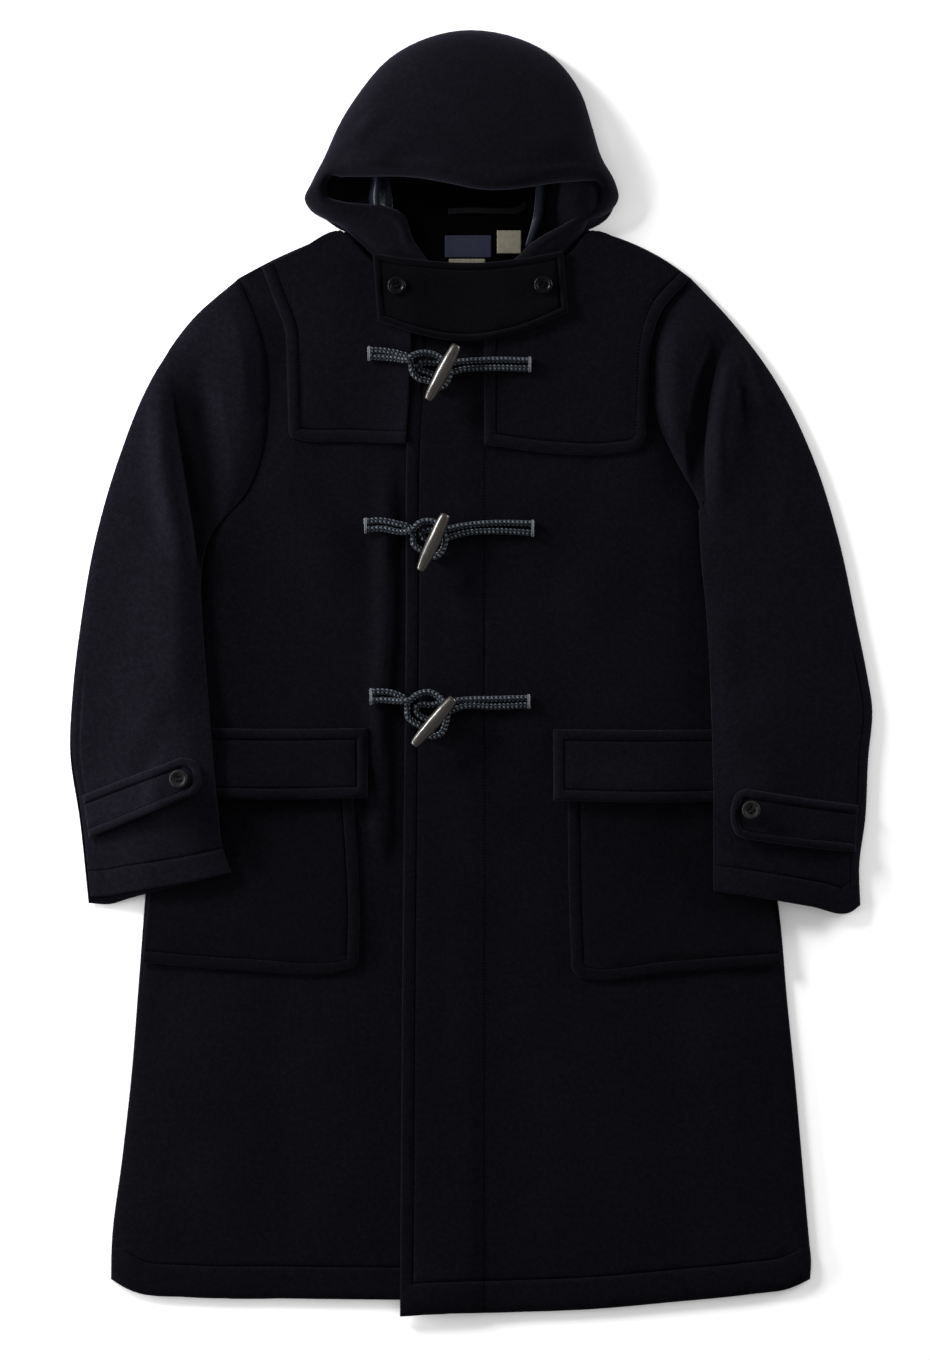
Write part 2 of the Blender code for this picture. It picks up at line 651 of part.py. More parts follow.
def make_sleeve(side, edges, body_edge, ridges, creases):
    """Two layers with one grid of points: the under layer on the floor and the body, the top on it."""
    points, u, v = patch(*edges, columns=armhole_steps, rows=sleeve_rows)
    points = kept_beside(points, body_edge, -1 if side == "right" else 1)
    body = ["back", "front_" + side, "pocket_" + side, "flap_" + side]
    under = settle(points, body, gap=hanging_gap, reach=10.0, passes=3, limit=underarm_up)
    under[under < floor_snap] = 0.0
    borders = fade(u, sleeve_borders[0])[None] * fade(v, sleeve_borders[1])[:, None]
    under += fold_rise(points, ridges) * borders
    sheet("sleeve_" + side + "_under", points, under, melton, "melton")
    open_part = np.clip(1 - fold_rise(points, creases), 0, 1)
    top = under + melton + sleeve_gap + sleeve_fullness * borders * open_part
    sheet("sleeve_" + side + "_top", points, top, melton, "melton")


def make_sleeves():
    right = (Edge(sleeve_right_cuff), Edge(armhole_right[::-1], aside=-armhole_gap),
             Edge(sleeve_right_outer), Edge(sleeve_right_inner))
    make_sleeve("right", right, side_right + armhole_right, sleeve_right_ridges, sleeve_right_creases)
    left = (Edge(sleeve_left_cuff), Edge(armhole_left, aside=-armhole_gap),
            Edge(sleeve_left_inner), Edge(sleeve_left_outer))
    make_sleeve("left", left, side_left + armhole_left, sleeve_left_ridges, sleeve_left_creases)
    for side, table in (("right", cuff_strap_right), ("left", cuff_strap_left)):
        points, _, _ = table_patch(table, columns=12, rows=4)
        rise = settle(points, ["sleeve_" + side + "_top"], gap=strap_gap, reach=9.0, passes=1)
        sheet("cuff_strap_" + side, points, rise, melton, "melton")


def turned(name, profile, location, rotation, finish):
    """A profile of (radius, height) rows, top to bottom, turned about Z."""
    mesh = bpy.data.meshes.new(name)
    mesh.from_pydata([(radius * mm, 0.0, height * mm) for radius, height in profile],
                     [(k, k + 1) for k in range(len(profile) - 1)], [])
    thing = add_object(name, mesh, finish)
    screw = thing.modifiers.new("turn", "SCREW")
    screw.axis = "Z"
    screw.steps = turned_steps
    screw.render_steps = turned_steps
    screw.use_merge_vertices = True
    screw.merge_threshold = 0.00001
    thing.location = location
    thing.rotation_mode = "QUATERNION"
    thing.rotation_quaternion = rotation
    return thing


def make_buttons():
    for row in buttons:
        button = dict(zip(button_columns, row))
        below = top_of([button["rests_on"]])
        rises = []
        for k in range(16):
            angle = k * math.pi / 8
            for radius in (0.0, button_radius / 2, button_radius):
                rises.append(below(button["across"] + radius * math.cos(angle),
                                   button["up"] + radius * math.sin(angle)))
        rise = max(found for found in rises if found is not None) + layer_gap
        turned(button["name"], button_profile, placed((button["across"], button["up"], rise)),
               (1, 0, 0, 0), "button")


def cord(name, path):
    """A round cord along a path of (across, up, rise) rows."""
    curve = bpy.data.curves.new(name, "CURVE")
    curve.dimensions = "3D"
    curve.bevel_depth = cord_radius * mm
    curve.bevel_resolution = 2
    curve.use_fill_caps = True
    spline = curve.splines.new("POLY")
    spline.points.add(len(path) - 1)
    for point, place in zip(spline.points, path):
        point.co = (*placed(place), 1.0)
    add_object(name, curve, "cord")


def even_path(rows, spacing):
    """Evenly spaced points on a smooth line through the rows."""
    line = smooth_run(rows, 12)
    along = np.concatenate([[0], np.cumsum(np.linalg.norm(np.diff(line, axis=0), axis=1))])
    count = max(2, round(along[-1] / spacing))
    wanted = np.linspace(0, along[-1], count + 1)
    return np.stack([np.interp(wanted, along, line[:, k]) for k in range(2)], axis=1)


def laid_path(line, names, over=()):
    """Rises along a cord that lies on the named solids and over the paths in over."""
    below = top_of(names)
    need = []
    for place in line:
        rise = needed_rise(place, below, layer_gap + cord_radius, cord_radius + cord_margin, coat_length)
        for other in over:
            gaps = np.linalg.norm(other[:, :2] - place, axis=1)
            clear = crossing_gap**2 - np.minimum(gaps, crossing_gap) ** 2
            near = gaps < crossing_gap
            if near.any():
                rise = max(rise, (other[near, 2] + np.sqrt(clear[near])).max())
        need.append(rise)
    need = np.array(need)
    rises = need.copy()
    for _ in range(3):
        wide = np.pad(rises, 1, mode="edge")
        rises = np.maximum(need, (wide[:-2] + wide[2:]) / 2)
    return np.column_stack([line, rises])


def make_fastening(number, fastening):
    """The toggle's own cord, doubled and turned back under it, the loop round both, and the toggle."""
    top, foot = np.array(fastening["toggle_top"], float), np.array(fastening["toggle_foot"], float)
    way = (foot - top) / np.linalg.norm(foot - top)
    side = np.array([-way[1], way[0]])
    ground = ["front_right", "front_left", "yoke_right", "yoke_left"]

    def beside(share, aside):
        return top + way * toggle_length * share + side * aside

    half = strand_spread / 2
    end, entry = np.array(fastening["cord_end"], float), np.array(fastening["cord_entry"], float)
    turn = beside(*turn_place)
    inward = (turn - entry) / np.linalg.norm(turn - entry)
    spread = np.array([-inward[1], inward[0]]) * half
    upper_rows = [end + (0, half), (end + entry) / 2 + (0, half + strand_slack), entry + (0, half)]
    lower_rows = [place - (0, strand_spread + strand_slack) for place in upper_rows[::-1]]
    bend = [turn + spread * half_spreads + inward * reach for half_spreads, reach in turn_back]
    own = laid_path(even_path(upper_rows + bend + lower_rows, cord_step), ground)
    cord("toggle_cord_%d" % number, own)

    start_at, pinch = np.array(fastening["loop_end"], float), np.array(fastening["pinch"], float)
    middle = start_at * 0.4 + pinch * 0.6
    upper = [start_at + (0, half), middle + (0, half + strand_slack / 2), pinch + (0, half)]
    lower = [place - (0, strand_spread + strand_slack) for place in upper[::-1]]
    round_it = [beside(share, aside) for share, aside in loop_route]
    loop = laid_path(even_path(upper + round_it + lower, cord_step), ground, over=(own,))
    cord("loop_cord_%d" % number, loop)

    rise = 0.0
    for path in (own, loop):
        for place in path:
            along = (place[:2] - top) @ way
            aside = abs((place[:2] - top) @ side)
            radius = np.interp(along, *np.array(toggle_profile, float).T)
            reach = radius + cord_radius + layer_gap
            if -cord_radius < along < toggle_length + cord_radius and aside < reach:
                rise = max(rise, place[2] + math.sqrt(reach**2 - aside**2))
    axis = Vector((way[0], way[1], 0.0))
    profile = [(0.0, toggle_length)] + [(radius, along) for along, radius in reversed(toggle_profile)]
    profile.append((0.0, 0.0))
    turned("toggle_%d" % number, profile, placed((*top, rise)),
           Vector((0, 0, 1)).rotation_difference(axis), "horn")


group = start()
make_back()
make_hood_back()
make_front_right()
make_front_left()
make_neck()
make_hood()
make_on_fronts()
make_sleeves()
make_buttons()
for number, row in enumerate(fastenings, 1):
    make_fastening(number, dict(zip(fastening_columns, row)))
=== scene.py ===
import math

import bmesh
import bpy
import numpy as np
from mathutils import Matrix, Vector, noise
from mathutils.bvhtree import BVHTree


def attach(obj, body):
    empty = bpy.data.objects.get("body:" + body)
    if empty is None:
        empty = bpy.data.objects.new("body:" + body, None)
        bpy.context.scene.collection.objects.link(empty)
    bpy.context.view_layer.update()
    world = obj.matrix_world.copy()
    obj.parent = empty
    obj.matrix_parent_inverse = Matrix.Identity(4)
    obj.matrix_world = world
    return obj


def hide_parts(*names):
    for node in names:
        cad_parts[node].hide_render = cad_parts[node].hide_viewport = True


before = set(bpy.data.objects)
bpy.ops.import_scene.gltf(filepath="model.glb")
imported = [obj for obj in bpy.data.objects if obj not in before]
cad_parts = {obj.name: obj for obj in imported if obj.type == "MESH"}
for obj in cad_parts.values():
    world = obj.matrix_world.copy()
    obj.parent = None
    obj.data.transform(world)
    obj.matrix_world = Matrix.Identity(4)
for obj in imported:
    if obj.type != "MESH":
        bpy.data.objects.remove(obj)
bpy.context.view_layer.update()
print("frame loaded:", len(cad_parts), "solids")

# Lengths are in millimetres until a mesh is made. "across" runs from the centre
# line towards the wearer's left, "up" from the hem towards the hood, and "rise"
# is the height above the surface that the coat lies on.
mm = 0.001
coatLength = 1284.0
centreAcross = 0.9
melton = 3.0


def place(rows):
    return (np.asarray(rows, float) - np.array([centreAcross, coatLength / 2, 0.0])) * mm


# Edges of the pieces, as they lie: (across, up).
sideRight = [(-359, 37), (-358, 76), (-348, 156), (-339, 236), (-331, 336), (-323, 436), (-310, 536),
             (-294, 616), (-278, 691), (-271, 726), (-269, 757), (-259, 783), (-244, 801)]
armholeRight = [(-244, 801), (-223, 827), (-209, 864), (-202, 903), (-202, 933), (-209, 979),
                (-218, 1006), (-232, 1037)]
shoulderRight = [(-232, 1037), (-196, 1056), (-151, 1076), (-129, 1086)]
necklineRight = [(-129, 1086), (-100, 1058.6), (-65, 1031.6), (-29, 1019.5), (-2, 1017)]
hemRight = [(-359, 37), (-340, 26), (-280, 19), (-200, 18), (-120, 17), (-2, 16)]
hiddenFrontEdge = [(-2, 16), (-2, 400), (-2, 1017)]

sideLeft = [(340, 37), (341, 54), (339, 76), (332, 156), (325, 236), (317, 316), (310, 396), (300, 466),
            (287, 536), (270, 606), (254, 676), (242, 716), (236, 746), (233.5, 776), (231, 806)]
armholeLeft = [(231, 806), (226, 820), (214, 841), (201, 866), (188, 897), (180, 931), (183, 973),
               (193, 1003), (221, 1037)]
shoulderLeft = [(221, 1037), (194, 1056), (153, 1076), (120, 1086)]
necklineLeft = [(-57, 1026), (-29, 1018.5), (10, 1018.5), (50, 1027.5), (82, 1047.5), (102, 1066),
                (120, 1086)]
hemLeft = [(-70, 0), (-40, 2), (40, 4), (120, 7), (200, 14), (280, 22), (320, 28), (340, 37)]
hemBack = [(-357, 38), (-280, 21), (-100, 19), (-20, 13), (60, 8), (120, 10), (200, 17), (280, 25),
           (338, 39)]
frontEdge = [(-70, 0), (-67, 400), (-64, 700), (-63, 872), (-57, 976), (-57, 1026)]
placket = [(14, 0), (14, 400), (14, 868)]
backNeck = [(-129, 1085), (-60, 1090), (0, 1092), (60, 1090), (119, 1085)]

sleeveRightOuter = [(-381, 413), (-390, 496), (-400, 566), (-398, 616), (-389, 696), (-375, 776),
                    (-352, 856), (-319, 936), (-278, 996), (-232, 1037)]
sleeveRightInner = [(-238, 444), (-246, 466), (-252, 516), (-258, 576), (-265, 656), (-268, 696),
                    (-269.5, 736), (-267.5, 757), (-258.5, 784), (-245, 801)]
sleeveRightCuff = [(-381, 413), (-360, 412), (-340, 418), (-290, 431), (-238, 444)]
sleeveRightTopCuff = [(-379, 420), (-361, 421), (-340, 425), (-290, 433), (-238, 444)]   # it stands open here
sleeveLeftOuter = [(390, 411), (389, 451), (395, 496), (398, 556), (402, 611), (398, 636), (386, 696),
                   (369, 776), (344, 856), (305, 936), (260, 996), (221, 1037)]
sleeveLeftInner = [(243, 426), (243, 516), (241.5, 616), (239.5, 670), (236.5, 716), (233.5, 746),
                   (231.5, 776), (230.5, 806)]
sleeveLeftCuff = [(243, 426), (290, 419), (340, 410), (380, 404), (390, 411)]

hoodBase = [(-164, 1117), (-144, 1097), (-129, 1086.5), (-60, 1091), (0, 1093), (60, 1091),
            (118, 1086.5), (137, 1098), (147, 1118)]
hoodWest = [(-164, 1117), (-157, 1133), (-145, 1156), (-132, 1186)]
hoodCrest = [(-132, 1186), (-114, 1216), (-80, 1256), (-40, 1277), (1, 1284), (50, 1275), (84, 1256),
             (110, 1222), (122, 1186)]
hoodEast = [(147, 1118), (144, 1132), (131, 1156), (122, 1186)]

# The hood's sections, from the wearer's left of the throat over the crown to the
# right: where each leaves the rim, where it ends at the face edge, and its rise.
hoodSections = [
    (-18, 1022, -18, 1034, 6), (20, 1024, 16, 1037, 6), (54, 1034, 38, 1046, 6), (77, 1049, 54, 1058, 7),
    (93, 1063, 64, 1069, 8), (103, 1074, 79, 1079, 9), (111, 1084, 94, 1087, 10),
    (117, 1092, 107, 1094, 11), (130, 1099, 120, 1101, 12), (139, 1105, 130, 1109, 13),
    (147, 1118, 135, 1121, 14), (144, 1132, 133, 1132, 17), (131, 1156, 122, 1140, 22),
    (122, 1186, 107, 1142, 29), (110, 1222, 86, 1140, 36), (84, 1256, 62, 1136, 42),
    (50, 1275, 35, 1133, 45), (1, 1284, 5, 1134, 46), (-40, 1277, -25, 1140, 45),
    (-80, 1256, -55, 1145, 41), (-114, 1216, -86, 1146.5, 35), (-132, 1186, -114, 1146, 28),
    (-145, 1156, -133, 1143, 22), (-157, 1133, -145, 1136, 17), (-164, 1117, -149, 1124, 14),
    (-158, 1106, -146, 1115, 13), (-143, 1097, -131, 1109, 13), (-128, 1090, -109, 1107, 12),
    (-113, 1078, -86, 1104, 11), (-97, 1063, -69, 1095, 10), (-81, 1050, -61, 1073, 8),
    (-63, 1036, -46, 1051, 7), (-40, 1026, -34, 1037, 6),
]


def straightEnds(south, north):
    return south, north, [south[0], north[0]], [south[-1], north[-1]]


# Pieces sewn on top: south and north run east, west and east run north.
yokeRight = ([(-181, 884), (-179, 878), (-172, 876), (-120, 874), (-64, 872)],
             [(-208, 1048), (-170, 1066), (-130, 1084.5), (-101, 1057), (-66, 1030), (-58, 1027)],
             [(-181, 884), (-183, 949), (-185, 986), (-196, 1016), (-208, 1048)],
             [(-64, 872), (-58, 976), (-58, 1027)])
yokeLeft = ([(14, 871), (87, 862), (146, 862), (168, 867), (176, 880)],
            [(14, 1017), (50, 1026), (82, 1046), (102, 1064), (120, 1084), (153, 1074.5),
             (194, 1054.5), (219, 1036)],
            [(14, 871), (14, 1017)],
            [(176, 880), (178, 929), (181, 973), (191, 1004), (219, 1036)])
throatTab = straightEnds([(-92, 994), (-50, 980), (0, 974), (50, 983), (98, 1003)],
                         [(-97, 1061), (-50, 1055), (0, 1052), (50, 1056), (93, 1064)])
pocketRight = ([(-327, 354), (-220, 346), (-125, 345), (-117, 347)],
               [(-304, 548), (-118, 548)],
               [(-327, 354), (-319, 436), (-304, 548)],
               [(-117, 347), (-112, 354), (-111, 368), (-118, 548)])
pocketLeft = ([(108, 340), (116, 338), (200, 344), (311, 352)],
              [(97, 546), (282, 546)],
              [(108, 340), (102, 347), (101, 362), (97, 546)],
              [(311, 352), (299, 440), (282, 546)])
flapRight = straightEnds([(-308, 520), (-200, 517), (-102, 519)], [(-295, 589), (-200, 587), (-102, 588)])
flapLeft = straightEnds([(83, 516), (180, 514), (286, 516)], [(83, 587), (180, 586), (270, 587)])
cuffStrapRight = ([(-380, 478), (-325, 501), (-282, 519)], [(-387, 521), (-335, 541), (-287, 559)],
                  [(-380, 478), (-387, 521)],
                  [(-282, 519), (-273, 523), (-267, 532), (-267, 546), (-274, 556), (-287, 559)])
cuffStrapLeft = ([(274, 478), (330, 470), (385, 464)], [(274, 528), (330, 519), (388, 511)],
                 [(274, 478), (265, 482), (260, 492), (260, 514), (265, 524), (274, 528)],
                 [(385, 464), (388, 511)])
neckLining = ([(-55, 1042), (-29, 1034), (10, 1034), (45, 1041)], [(-86, 1130), (76, 1130)],
              [(-55, 1042), (-74, 1070), (-84, 1095), (-86, 1130)],
              [(45, 1041), (60, 1064), (74, 1094), (76, 1130)])
hoodLiningRight = ([(-96, 1090), (-76, 1088)], [(-98, 1139), (-80, 1139)],
                   [(-96, 1090), (-101, 1117), (-98, 1139)], [(-76, 1088), (-77, 1112), (-80, 1139)])
hoodLiningLeft = ([(55, 1069), (62, 1071)], [(66, 1130), (76, 1130)],
                  [(55, 1069), (63, 1101), (66, 1130)], [(62, 1071), (72, 1096), (76, 1130)])
hangerLoop = straightEnds([(-22, 1101), (0, 1102), (30, 1101.5), (50, 1103), (58, 1109)],
                          [(-22, 1107), (0, 1108), (30, 1107.5), (48, 1109), (56, 1115)])


# Lines and grids.

def lengthsAlong(points):
    return np.concatenate([[0], np.cumsum(np.linalg.norm(np.diff(points, axis=0), axis=1))])


def smoothRun(rows, steps):
    rows = np.array(rows, float)
    if len(rows) == 2:
        share = np.linspace(0, 1, steps + 1)[:, None]
        return rows[0] * (1 - share) + rows[1] * share
    along = lengthsAlong(rows)
    slope = np.gradient(rows, along, axis=0)
    points = []
    for k in range(len(rows) - 1):
        reach = along[k + 1] - along[k]
        for t in np.linspace(0, 1, steps, endpoint=False):
            points.append((2 * t**3 - 3 * t**2 + 1) * rows[k] + (t**3 - 2 * t**2 + t) * reach * slope[k]
                          + (3 * t**2 - 2 * t**3) * rows[k + 1] + (t**3 - t**2) * reach * slope[k + 1])
    points.append(rows[-1])
    return np.array(points)


def evenly(points, spacing):
    along = lengthsAlong(points)
    wanted = np.linspace(0, along[-1], max(2, round(along[-1] / spacing)) + 1)
    return np.stack([np.interp(wanted, along, points[:, k]) for k in range(points.shape[1])], axis=1)


def leftHand(points):
    way = np.gradient(points, axis=0)
    way /= np.linalg.norm(way, axis=1)[:, None] + 1e-9
    return np.stack([-way[:, 1], way[:, 0]], axis=1)


class EdgeLine:
    def __init__(self, runs, aside=0.0, steps=8):
        runs = runs if isinstance(runs[0], list) else [runs]   # several runs meet at corners
        asides = aside if isinstance(aside, list) else [aside] * len(runs)
        pieces = [smoothRun(run, steps) for run in runs]
        pieces = [piece + shift * leftHand(piece) for piece, shift in zip(pieces, asides)]
        self.points = np.concatenate([pieces[0]] + [piece[1:] for piece in pieces[1:]])
        along = lengthsAlong(self.points)
        self.length = along[-1]
        self.share = along / along[-1]

    def at(self, shares):
        return np.stack([np.interp(shares, self.share, self.points[:, k]) for k in (0, 1)], axis=-1)

    def nearest(self, points):
        # distance, share along the line, and 1 on its left hand or -1 on its right
        flat = points.reshape(-1, 2)
        best, where, hand = np.full(len(flat), 1e9), np.zeros(len(flat)), np.ones(len(flat))
        for k in range(len(self.points) - 1):
            way = self.points[k + 1] - self.points[k]
            off = flat - self.points[k]
            share = np.clip((off @ way) / max(way @ way, 1e-9), 0, 1)
            gap = np.hypot(*(off - share[:, None] * way).T)
            near = gap < best - 1e-6
            best = np.where(near, gap, best)
            where = np.where(near, self.share[k] + share * (self.share[k + 1] - self.share[k]), where)
            hand = np.where(near, np.sign(way[0] * off[:, 1] - way[1] * off[:, 0] + 1e-12), hand)
        shape = points.shape[:-1]
        return best.reshape(shape), where.reshape(shape), hand.reshape(shape)

    def distance(self, points):
        return self.nearest(points)[0]


def coons(sides, u, v):
    south, north, west, east = sides
    u3, v3 = u[..., None], v[..., None]
    lowWest, lowEast, highWest, highEast = south.at(0.0), south.at(1.0), north.at(0.0), north.at(1.0)
    left = west.at(v) + (1 - v3) * (lowWest - west.at(0.0)) + v3 * (highWest - west.at(1.0))
    right = east.at(v) + (1 - v3) * (lowEast - east.at(0.0)) + v3 * (highEast - east.at(1.0))
    return ((1 - v3) * south.at(u) + v3 * north.at(u) + (1 - u3) * left + u3 * right
            - (1 - u3) * (1 - v3) * lowWest - u3 * (1 - v3) * lowEast
            - (1 - u3) * v3 * highWest - u3 * v3 * highEast)


# Distances at which grid lines run: from an edge, from an edge with no seam, and to both sides of a seam.
gridSteps = {"edge": [0.0, 0.3, 0.9, 1.8, 3.2], "plain": [5.4, 8.5], "seam": [-1.2, -0.6, 0, 0.6, 1.2, 3.0],
             "placket": [-1.3, -0.6, 0, 0.6, 1.3], "clear": 4.0, "widest": 0.45}


def borderLines(stitch, wide):
    lines = list(gridSteps["edge"])
    if stitch:
        lines += list(np.linspace(5.0, stitch - 2.4, max(1, int((stitch - 6) / 3) + 1)))
        lines += [stitch + step for step in gridSteps["seam"]]
    else:
        lines += gridSteps["plain"]
    lines = np.array(sorted(lines))
    return lines[lines < wide * gridSteps["widest"]]


def gridLines(mean, spacing, low, high, guide=None):
    # pairs (fixed, share): a line lies at fixed + share * (free length), measured from the low side
    free = mean - low[-1] - high[-1]
    count = max(1, round(free / spacing))
    inner = np.linspace(0, 1, count + 1)[1:-1]
    if guide is not None:
        share = (guide - low[-1]) / free
        inner = inner[abs(inner - share) * free > gridSteps["clear"]]
        inner = np.sort(np.concatenate([inner, share + np.array(gridSteps["placket"]) / free]))
    fixed = np.concatenate([low, np.full(len(inner), low[-1]), low[-1] + (high[-1] - high)[::-1]])
    shares = np.concatenate([np.zeros(len(low)), inner, np.ones(len(high))])
    return fixed, shares, low[-1] + high[-1]


def warped(fixed, shares, borders, widths):
    free = np.maximum(widths - borders, 1.0)
    return np.clip((fixed[None, :] + shares[None, :] * free[:, None]) / (free + borders)[:, None], 0, 1)


def clothGrid(sides, cloth):
    south, north, west, east = sides
    meanWide, meanTall = (south.length + north.length) / 2, (west.length + east.length) / 2
    lines = {**cloth["stitch"], **cloth["partSeam"]}
    lows = [borderLines(lines.get(side, 0), size) for side, size in
            (("west", meanWide), ("east", meanWide), ("south", meanTall), ("north", meanTall))]
    columns = gridLines(meanWide, cloth["spacing"], lows[0], lows[1], cloth["guide"])
    rows = gridLines(meanTall, cloth["spacing"], lows[2], lows[3])
    rowShares = (rows[0] + rows[1] * (meanTall - rows[2])) / meanTall
    columnShares = (columns[0] + columns[1] * (meanWide - columns[2])) / meanWide
    wide = np.linalg.norm(east.at(rowShares) - west.at(rowShares), axis=1)
    tall = np.linalg.norm(north.at(columnShares) - south.at(columnShares), axis=1)
    u = warped(*columns, wide)
    v = warped(*rows, tall).T
    return coons(sides, u, v), u, v


def dense(grid, times):
    for axis in (0, 1):
        t = np.arange((grid.shape[axis] - 1) * times + 1) / times
        low = np.minimum(t.astype(int), grid.shape[axis] - 2)
        share = (t - low).reshape([-1 if k == axis else 1 for k in range(grid.ndim)])
        grid = np.take(grid, low, axis) * (1 - share) + np.take(grid, low + 1, axis) * share
    return grid


# What lies below: a map of the highest cloth so far.

def boxBlur(field, size):
    for axis in (0, 1):
        wide = np.pad(field, [(size + 1, size) if k == axis else (0, 0) for k in (0, 1)], mode="edge")
        total = np.cumsum(wide, axis=axis)
        count = 2 * size + 1
        field = (np.take(total, range(count, total.shape[axis]), axis)
                 - np.take(total, range(0, total.shape[axis] - count), axis)) / count
    return field


def spreadMax(field, cells):
    wide = field.copy()
    for dy in range(-cells, cells + 1):
        for dx in range(-cells, cells + 1):
            if 0 < dx * dx + dy * dy <= cells * cells + 1:
                wide = np.maximum(wide, np.roll(field, (dy, dx), (0, 1)))
    return wide


class Pile:
    pitch, west, south = 1.5, -440.0, -40.0
    rows, columns, margin = 930, 600, 16
    fade = 20.0   # cloth with an "under" limit rests only on what lies below that, and fades out to there

    def __init__(self):
        self.top = np.zeros((self.rows, self.columns))

    def cells(self, points):
        column = np.clip(np.rint((points[..., 0] - self.west) / self.pitch), 0, self.top.shape[1] - 1)
        row = np.clip(np.rint((points[..., 1] - self.south) / self.pitch), 0, self.top.shape[0] - 1)
        return row.astype(int), column.astype(int)

    def times(self, points):
        steps = max(np.linalg.norm(np.diff(points, axis=0), axis=2).max(),
                    np.linalg.norm(np.diff(points, axis=1), axis=2).max())
        return int(math.ceil(steps / self.pitch)) + 1

    def add(self, points, rise):
        grid = dense(np.concatenate([points, rise[..., None]], axis=2), self.times(points))
        np.maximum.at(self.top, self.cells(grid), grid[..., 2])

    def footprint(self, points):
        shape = np.zeros(self.top.shape, bool)
        shape[self.cells(dense(points, self.times(points)))] = True
        return shape

    def sample(self, points, field=None):
        field = self.top if field is None else field
        x = np.clip((points[..., 0] - self.west) / self.pitch, 0, field.shape[1] - 1.001)
        y = np.clip((points[..., 1] - self.south) / self.pitch, 0, field.shape[0] - 1.001)
        i, j = y.astype(int), x.astype(int)
        fy, fx = y - i, x - j
        return ((field[i, j] * (1 - fx) + field[i, j + 1] * fx) * (1 - fy)
                + (field[i + 1, j] * (1 - fx) + field[i + 1, j + 1] * fx) * fy)

    def settle(self, points, reach, passes, under=None):
        # cloth over the pile: clear of it within reach, and bridging what is narrow
        shape = self.footprint(points)
        window = tuple(slice(max(cells.min() - self.margin, 0), cells.max() + self.margin)
                       for cells in np.where(shape))
        need = self.top[window].copy()
        if under is not None:
            ups = self.south + self.pitch * np.arange(window[0].start, window[0].start + need.shape[0])
            need *= np.clip((under - ups) / self.fade, 0, 1)[:, None]
        need = spreadMax(need, max(1, round(reach / self.pitch)))
        inside = shape[window].astype(float)
        rise = need.copy()
        for size in (9, 5, 3, 1):
            weight = boxBlur(inside, size) + 1e-6
            for _ in range(passes):
                rise = np.maximum(need, boxBlur(rise * inside, size) / weight)
                rise = np.where(inside > 0, rise, need)
        for _ in range(3):
            rise = np.where(inside > 0, boxBlur(rise * inside, 1) / (boxBlur(inside, 1) + 1e-6), rise)
        field = np.zeros(self.top.shape)
        field[window] = rise
        return self.sample(points, field)


pile = Pile()


# Folds and unevenness.

def smoothStep(value):
    t = np.clip(value, 0, 1)
    return t * t * (3 - 2 * t)


def bell(value, half):
    return np.exp(-((value / half) ** 2))


def arc(share):
    return np.sqrt(1 - share**2)


def foldRise(points, folds):
    # rows of (across0, up0, across1, up1, halfWidth, rise): a trough has a negative rise
    total = np.zeros(points.shape[:2])
    for across0, up0, across1, up1, halfWidth, rise in folds:
        tail, way = np.array([across0, up0], float), np.array([across1 - across0, up1 - up0], float)
        share = ((points - tail) @ way) / (way @ way)
        gap = np.linalg.norm(points - tail - share[..., None] * way, axis=2) / halfWidth
        ends = smoothStep((share + 0.25) / 0.5) * smoothStep((1.25 - share) / 0.5)   # it fades out there
        total += rise * np.clip(1 - gap**2, 0, 1) ** 2 * ends
    return total


def foldEdge(points, fold):
    # a fold that stands beside a valley: how full its crest is, and how much of the rise the valley takes
    gap, share, found = EdgeLine(fold["line"]).nearest(points)
    away = gap * found * fold["hand"]
    fade = smoothStep((share - 0.004) / fold["fadeIn"]) * smoothStep((0.998 - share) / fold["fadeOut"])
    calm = smoothStep((1.0 - share) / fold["calm"])
    crest = fold["crest"] * bell(away + fold["back"], fold["half"]) * fade * calm
    back = smoothStep((away - fold["floor"]) / fold["slow"])
    valley = smoothStep((away + fold["steep"]) / fold["steep"]) * (1 - fold["return"] * back) * fade
    return crest, valley, away, fade, share


# Painted shade in the hollow beside an underarm fold: how far it reaches before and past the fold, and where
# along the fold it fades.
paintedShadeForm = {"before": 5.0, "over": 8.0, "floor": 0.75, "slow": 0.6, "start": 0.35, "end": 0.05}


def paintedShadeIn(points, fold):
    # how deep a spot lies in the fold's hollow, for the painted shade that darkens the colour there
    form = paintedShadeForm
    _, _, away, _, share = foldEdge(points, fold)
    far = 1 - smoothStep((away - form["floor"] * fold["floor"]) / (form["slow"] * fold["slow"]))
    near = smoothStep((away + form["before"]) / form["over"])
    return near * far * smoothStep(share / form["start"]) * smoothStep((1.0 - share) / form["end"])


def leanOver(points, fold):
    # the steep side of the fold stands upright: its upper part is drawn over the valley
    line = EdgeLine(fold["line"])
    _, _, away, fade, share = foldEdge(points, fold)
    half = 0.36 * fold["steep"]
    reach = fold["lean"] * half * fade * bell(away + 1.2 * half, half)
    ahead, behind = line.at(np.clip(share + 0.02, 0, 1)), line.at(np.clip(share - 0.02, 0, 1))
    way = (ahead - behind) / (np.linalg.norm(ahead - behind, axis=2)[..., None] + 1e-6)
    across = np.stack([-way[..., 1], way[..., 0]], axis=2) * fold["hand"]
    return points + across * reach[..., None]


def unevenness(points, seed, sizes=((95.0, 1.0), (38.0, 0.35))):
    total = np.zeros(points.shape[:2])
    for index in np.ndindex(total.shape):
        across, up = points[index]
        total[index] = sum(share * noise.noise(Vector((across / size, up / size, seed + size)))
                           for size, share in sizes)
    return total


# Meshes.

def linked(name, data):
    thing = bpy.data.objects.new(name, data)
    bpy.context.scene.collection.objects.link(thing)
    return thing


